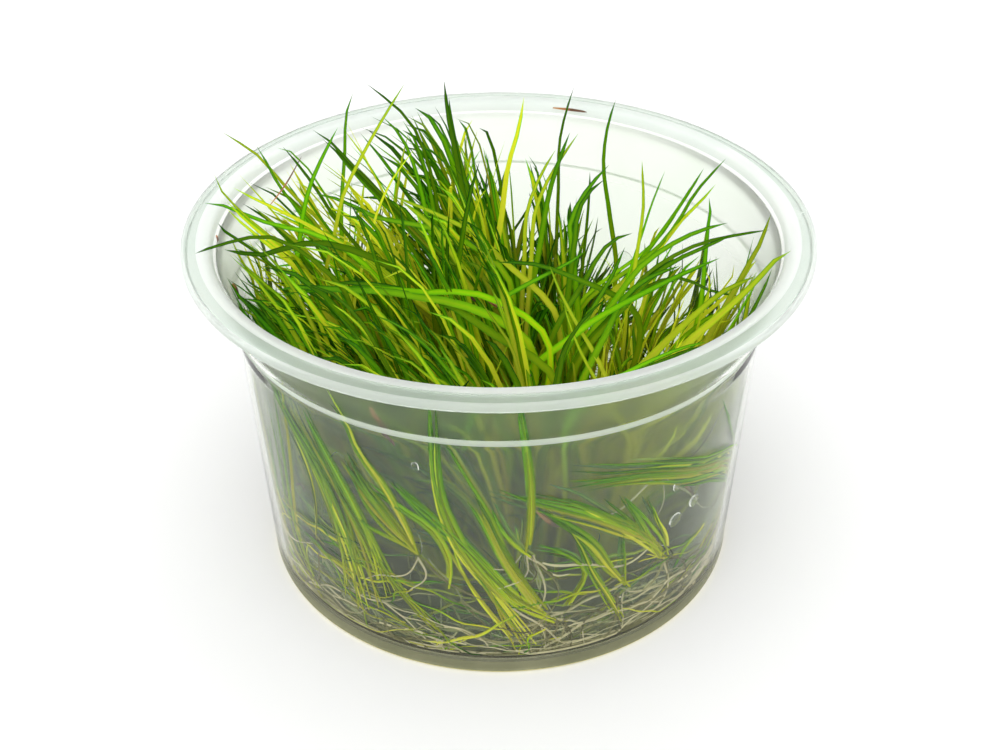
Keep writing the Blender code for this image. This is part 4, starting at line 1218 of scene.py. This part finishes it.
def lens(centre, wide, tall, thick, tilt, wavy, rng):
    """A drop on the wall, closed: two discs of rings that meet in one edge.

    Ring i lies at share r_i of an outline whose radius swings with the angle. The back disc follows the wall,
    and the front stands off it by the thickness times the square root of 1 - r^2.
    """
    sides, rings, gap = 40, 7, 0.06
    theta = tau * np.arange(sides) / sides
    swing = np.sin(2 * theta + rng.uniform(0, tau)) + 0.6 * np.sin(3 * theta + rng.uniform(0, tau))
    swing = 1.0 + wavy * swing
    share = np.sin(np.linspace(0.0, pi / 2, rings + 1))[1:, None]
    across = share * wide * swing * np.cos(theta)
    up = share * tall * swing * np.sin(theta)
    c, s = cos(radians(tilt)), sin(radians(tilt))
    across, up = across * c - up * s, across * s + up * c
    angles = centre[0] + degrees_round(across, centre[1])
    heights = np.clip(centre[1] + up, GEL_TOP + 0.3, None)
    stand = gap + thick * np.sqrt(np.clip(1.0 - share**2, 0.0, 1.0)) * np.ones((1, sides))
    back = lay_on_wall(angles, heights, gap)
    front = lay_on_wall(angles, heights, stand)
    middle, crest = (lay_on_wall(*centre, inset) for inset in (gap, gap + thick))
    points = np.concatenate((middle[None], back.reshape(-1, 3), front[:-1].reshape(-1, 3), crest[None]))
    k = np.arange(sides)
    n = (k + 1) % sides

    def band(low, high):
        """Quads between two rings, given by the number of their first point."""
        return np.stack((low + k, low + n, high + n, high + k), axis=-1).reshape(-1, 4)

    behind = 1 + np.arange(rings)[:, None] * sides
    ahead = behind[:-1] + rings * sides
    quads = np.concatenate((band(behind[1:], behind[:-1]), band(ahead[:-1], ahead[1:]),
                            band(ahead[-1], behind[-1])))
    zero, last = np.zeros(sides, int), np.full(sides, len(points) - 1)
    tris = np.concatenate((np.stack((zero, 1 + k, 1 + n), axis=-1),
                           np.stack((last, ahead[0] + n, ahead[0] + k), axis=-1)))
    return points, quads, tris


def make_films(mat):
    """The drops as one mesh, those of the photo and flatter ones scattered round the back, and the lines."""
    rng = np.random.default_rng(WATER_SEED)
    rows = [(unrolled(spot, 0.3), *row) for spot, *row in DROPS]
    for _ in range(DROPS_BEHIND):
        size = rng.uniform(0.6, 5.0)
        centre = np.array([rng.uniform(80.0, 280.0), rng.uniform(10.0, 40.0)])
        rows.append((centre, size, size * rng.uniform(0.6, 1.4), 0.3, rng.uniform(-40, 40), 0.2))
    drops, total = [], 0
    for row in rows:
        points, quads, tris = lens(*row, rng)
        drops.append((points, quads + total, tris + total))
        total += len(points)
    mesh = build_mesh("water_films", *(np.concatenate(parts) for parts in zip(*drops)))
    add_piece("water_films", mesh, mat, "gel")
    lines = np.array([through([on_wall(spot, 0.35) for spot in spots], 20) for spots in WATER_LINES])
    count = len(lines)
    width = rng.uniform(0.22, 0.34, count)
    still = np.zeros((count, 2))
    mesh = sweep("water_lines", lines, facing_wall(lines), width, width * 0.9, still, np.zeros(count))
    add_piece("water_lines", mesh, mat, "gel")


def main():
    """All pieces. The leaf materials differ in brightness below and above, which is painted shade in the cup
    and painted light above it, in share of yellow, and in glow.
    """
    add_camera()
    make_cup()
    make_haze()
    make_gel()
    group = leaf_group()
    # first two numbers of a leaf material: its brightness low in the cup and above the rim, the step between
    # them painted shade below and painted light above
    leaf = leaf_material("grass_blade", group, 1.85, 1.95, 0.40, 0.5)
    bright = leaf_material("grass_blade_bright", group, 1.75, 2.7, 0.5, 0.5)
    wet = leaf_material("grass_blade_wet", group, 1.5, 1.9, 0.22, 0.3)
    make_standing(leaf, bright)
    make_tall(leaf_material("grass_blade_tall", group, 1.9, 2.15, 0.45, 0.5))
    make_wall_bundles(wet)
    make_low_strands(wet)
    make_roots(strand_material("root_cream", "tone", 0.5, 260.0, 0.5, (0.3, (0.17, 0.16, 0.06)),
                               (0.75, (0.37, 0.35, 0.15)), (1.0, (0.78, 0.71, 0.45))))
    make_dead(strand_material("dead_blade", "along", 0.6, 500.0, 0.6, (0.2, (0.62, 0.30, 0.10)),
                              (0.7, (0.42, 0.17, 0.06)), (0.85, (0.14, 0.06, 0.03))))
    make_films(water_material())


def add_stage():
    """Plain white floor, soft light from above and an even white surround."""
    scene = bpy.context.scene
    half = 2.0 / MM
    corners = np.array(((-half, -half, 0.0), (half, -half, 0.0), (half, half, 0.0), (-half, half, 0.0)))
    mesh = build_mesh("floor", corners, np.array([[0, 1, 2, 3]]), np.zeros((0, 3), int), smooth=False)
    floor = bpy.data.objects.new("floor", mesh)
    mat, tree, shader = new_material("white_floor")
    set_inputs(tree, shader, Base_Color=(0.93, 0.93, 0.93, 1.0), Roughness=0.9, Specular_IOR_Level=0.0)
    mesh.materials.append(mat)
    scene.collection.objects.link(floor)
    world = bpy.data.worlds.new("white_surround")
    world.use_nodes = True
    background = world.node_tree.nodes["Background"]
    set_inputs(world.node_tree, background, Color=(1.0, 1.0, 1.0, 1.0), Strength=1.0)
    scene.world = world
    light = bpy.data.lights.new("soft_key", "SUN")
    light.angle = radians(60.0)
    light.energy = 1.0
    lamp = bpy.data.objects.new("soft_key", light)
    lamp.location = (-0.06, -0.30, 0.50)
    lamp.rotation_euler = (Vector((0.0, 0.0, 0.04)) - lamp.location).to_track_quat("-Z", "Y").to_euler()
    scene.collection.objects.link(lamp)
    scene.view_settings.view_transform = "Standard"
    scene.cycles.max_bounces = 24
    scene.cycles.transmission_bounces = 16
    scene.cycles.transparent_max_bounces = 16


main()
add_stage()
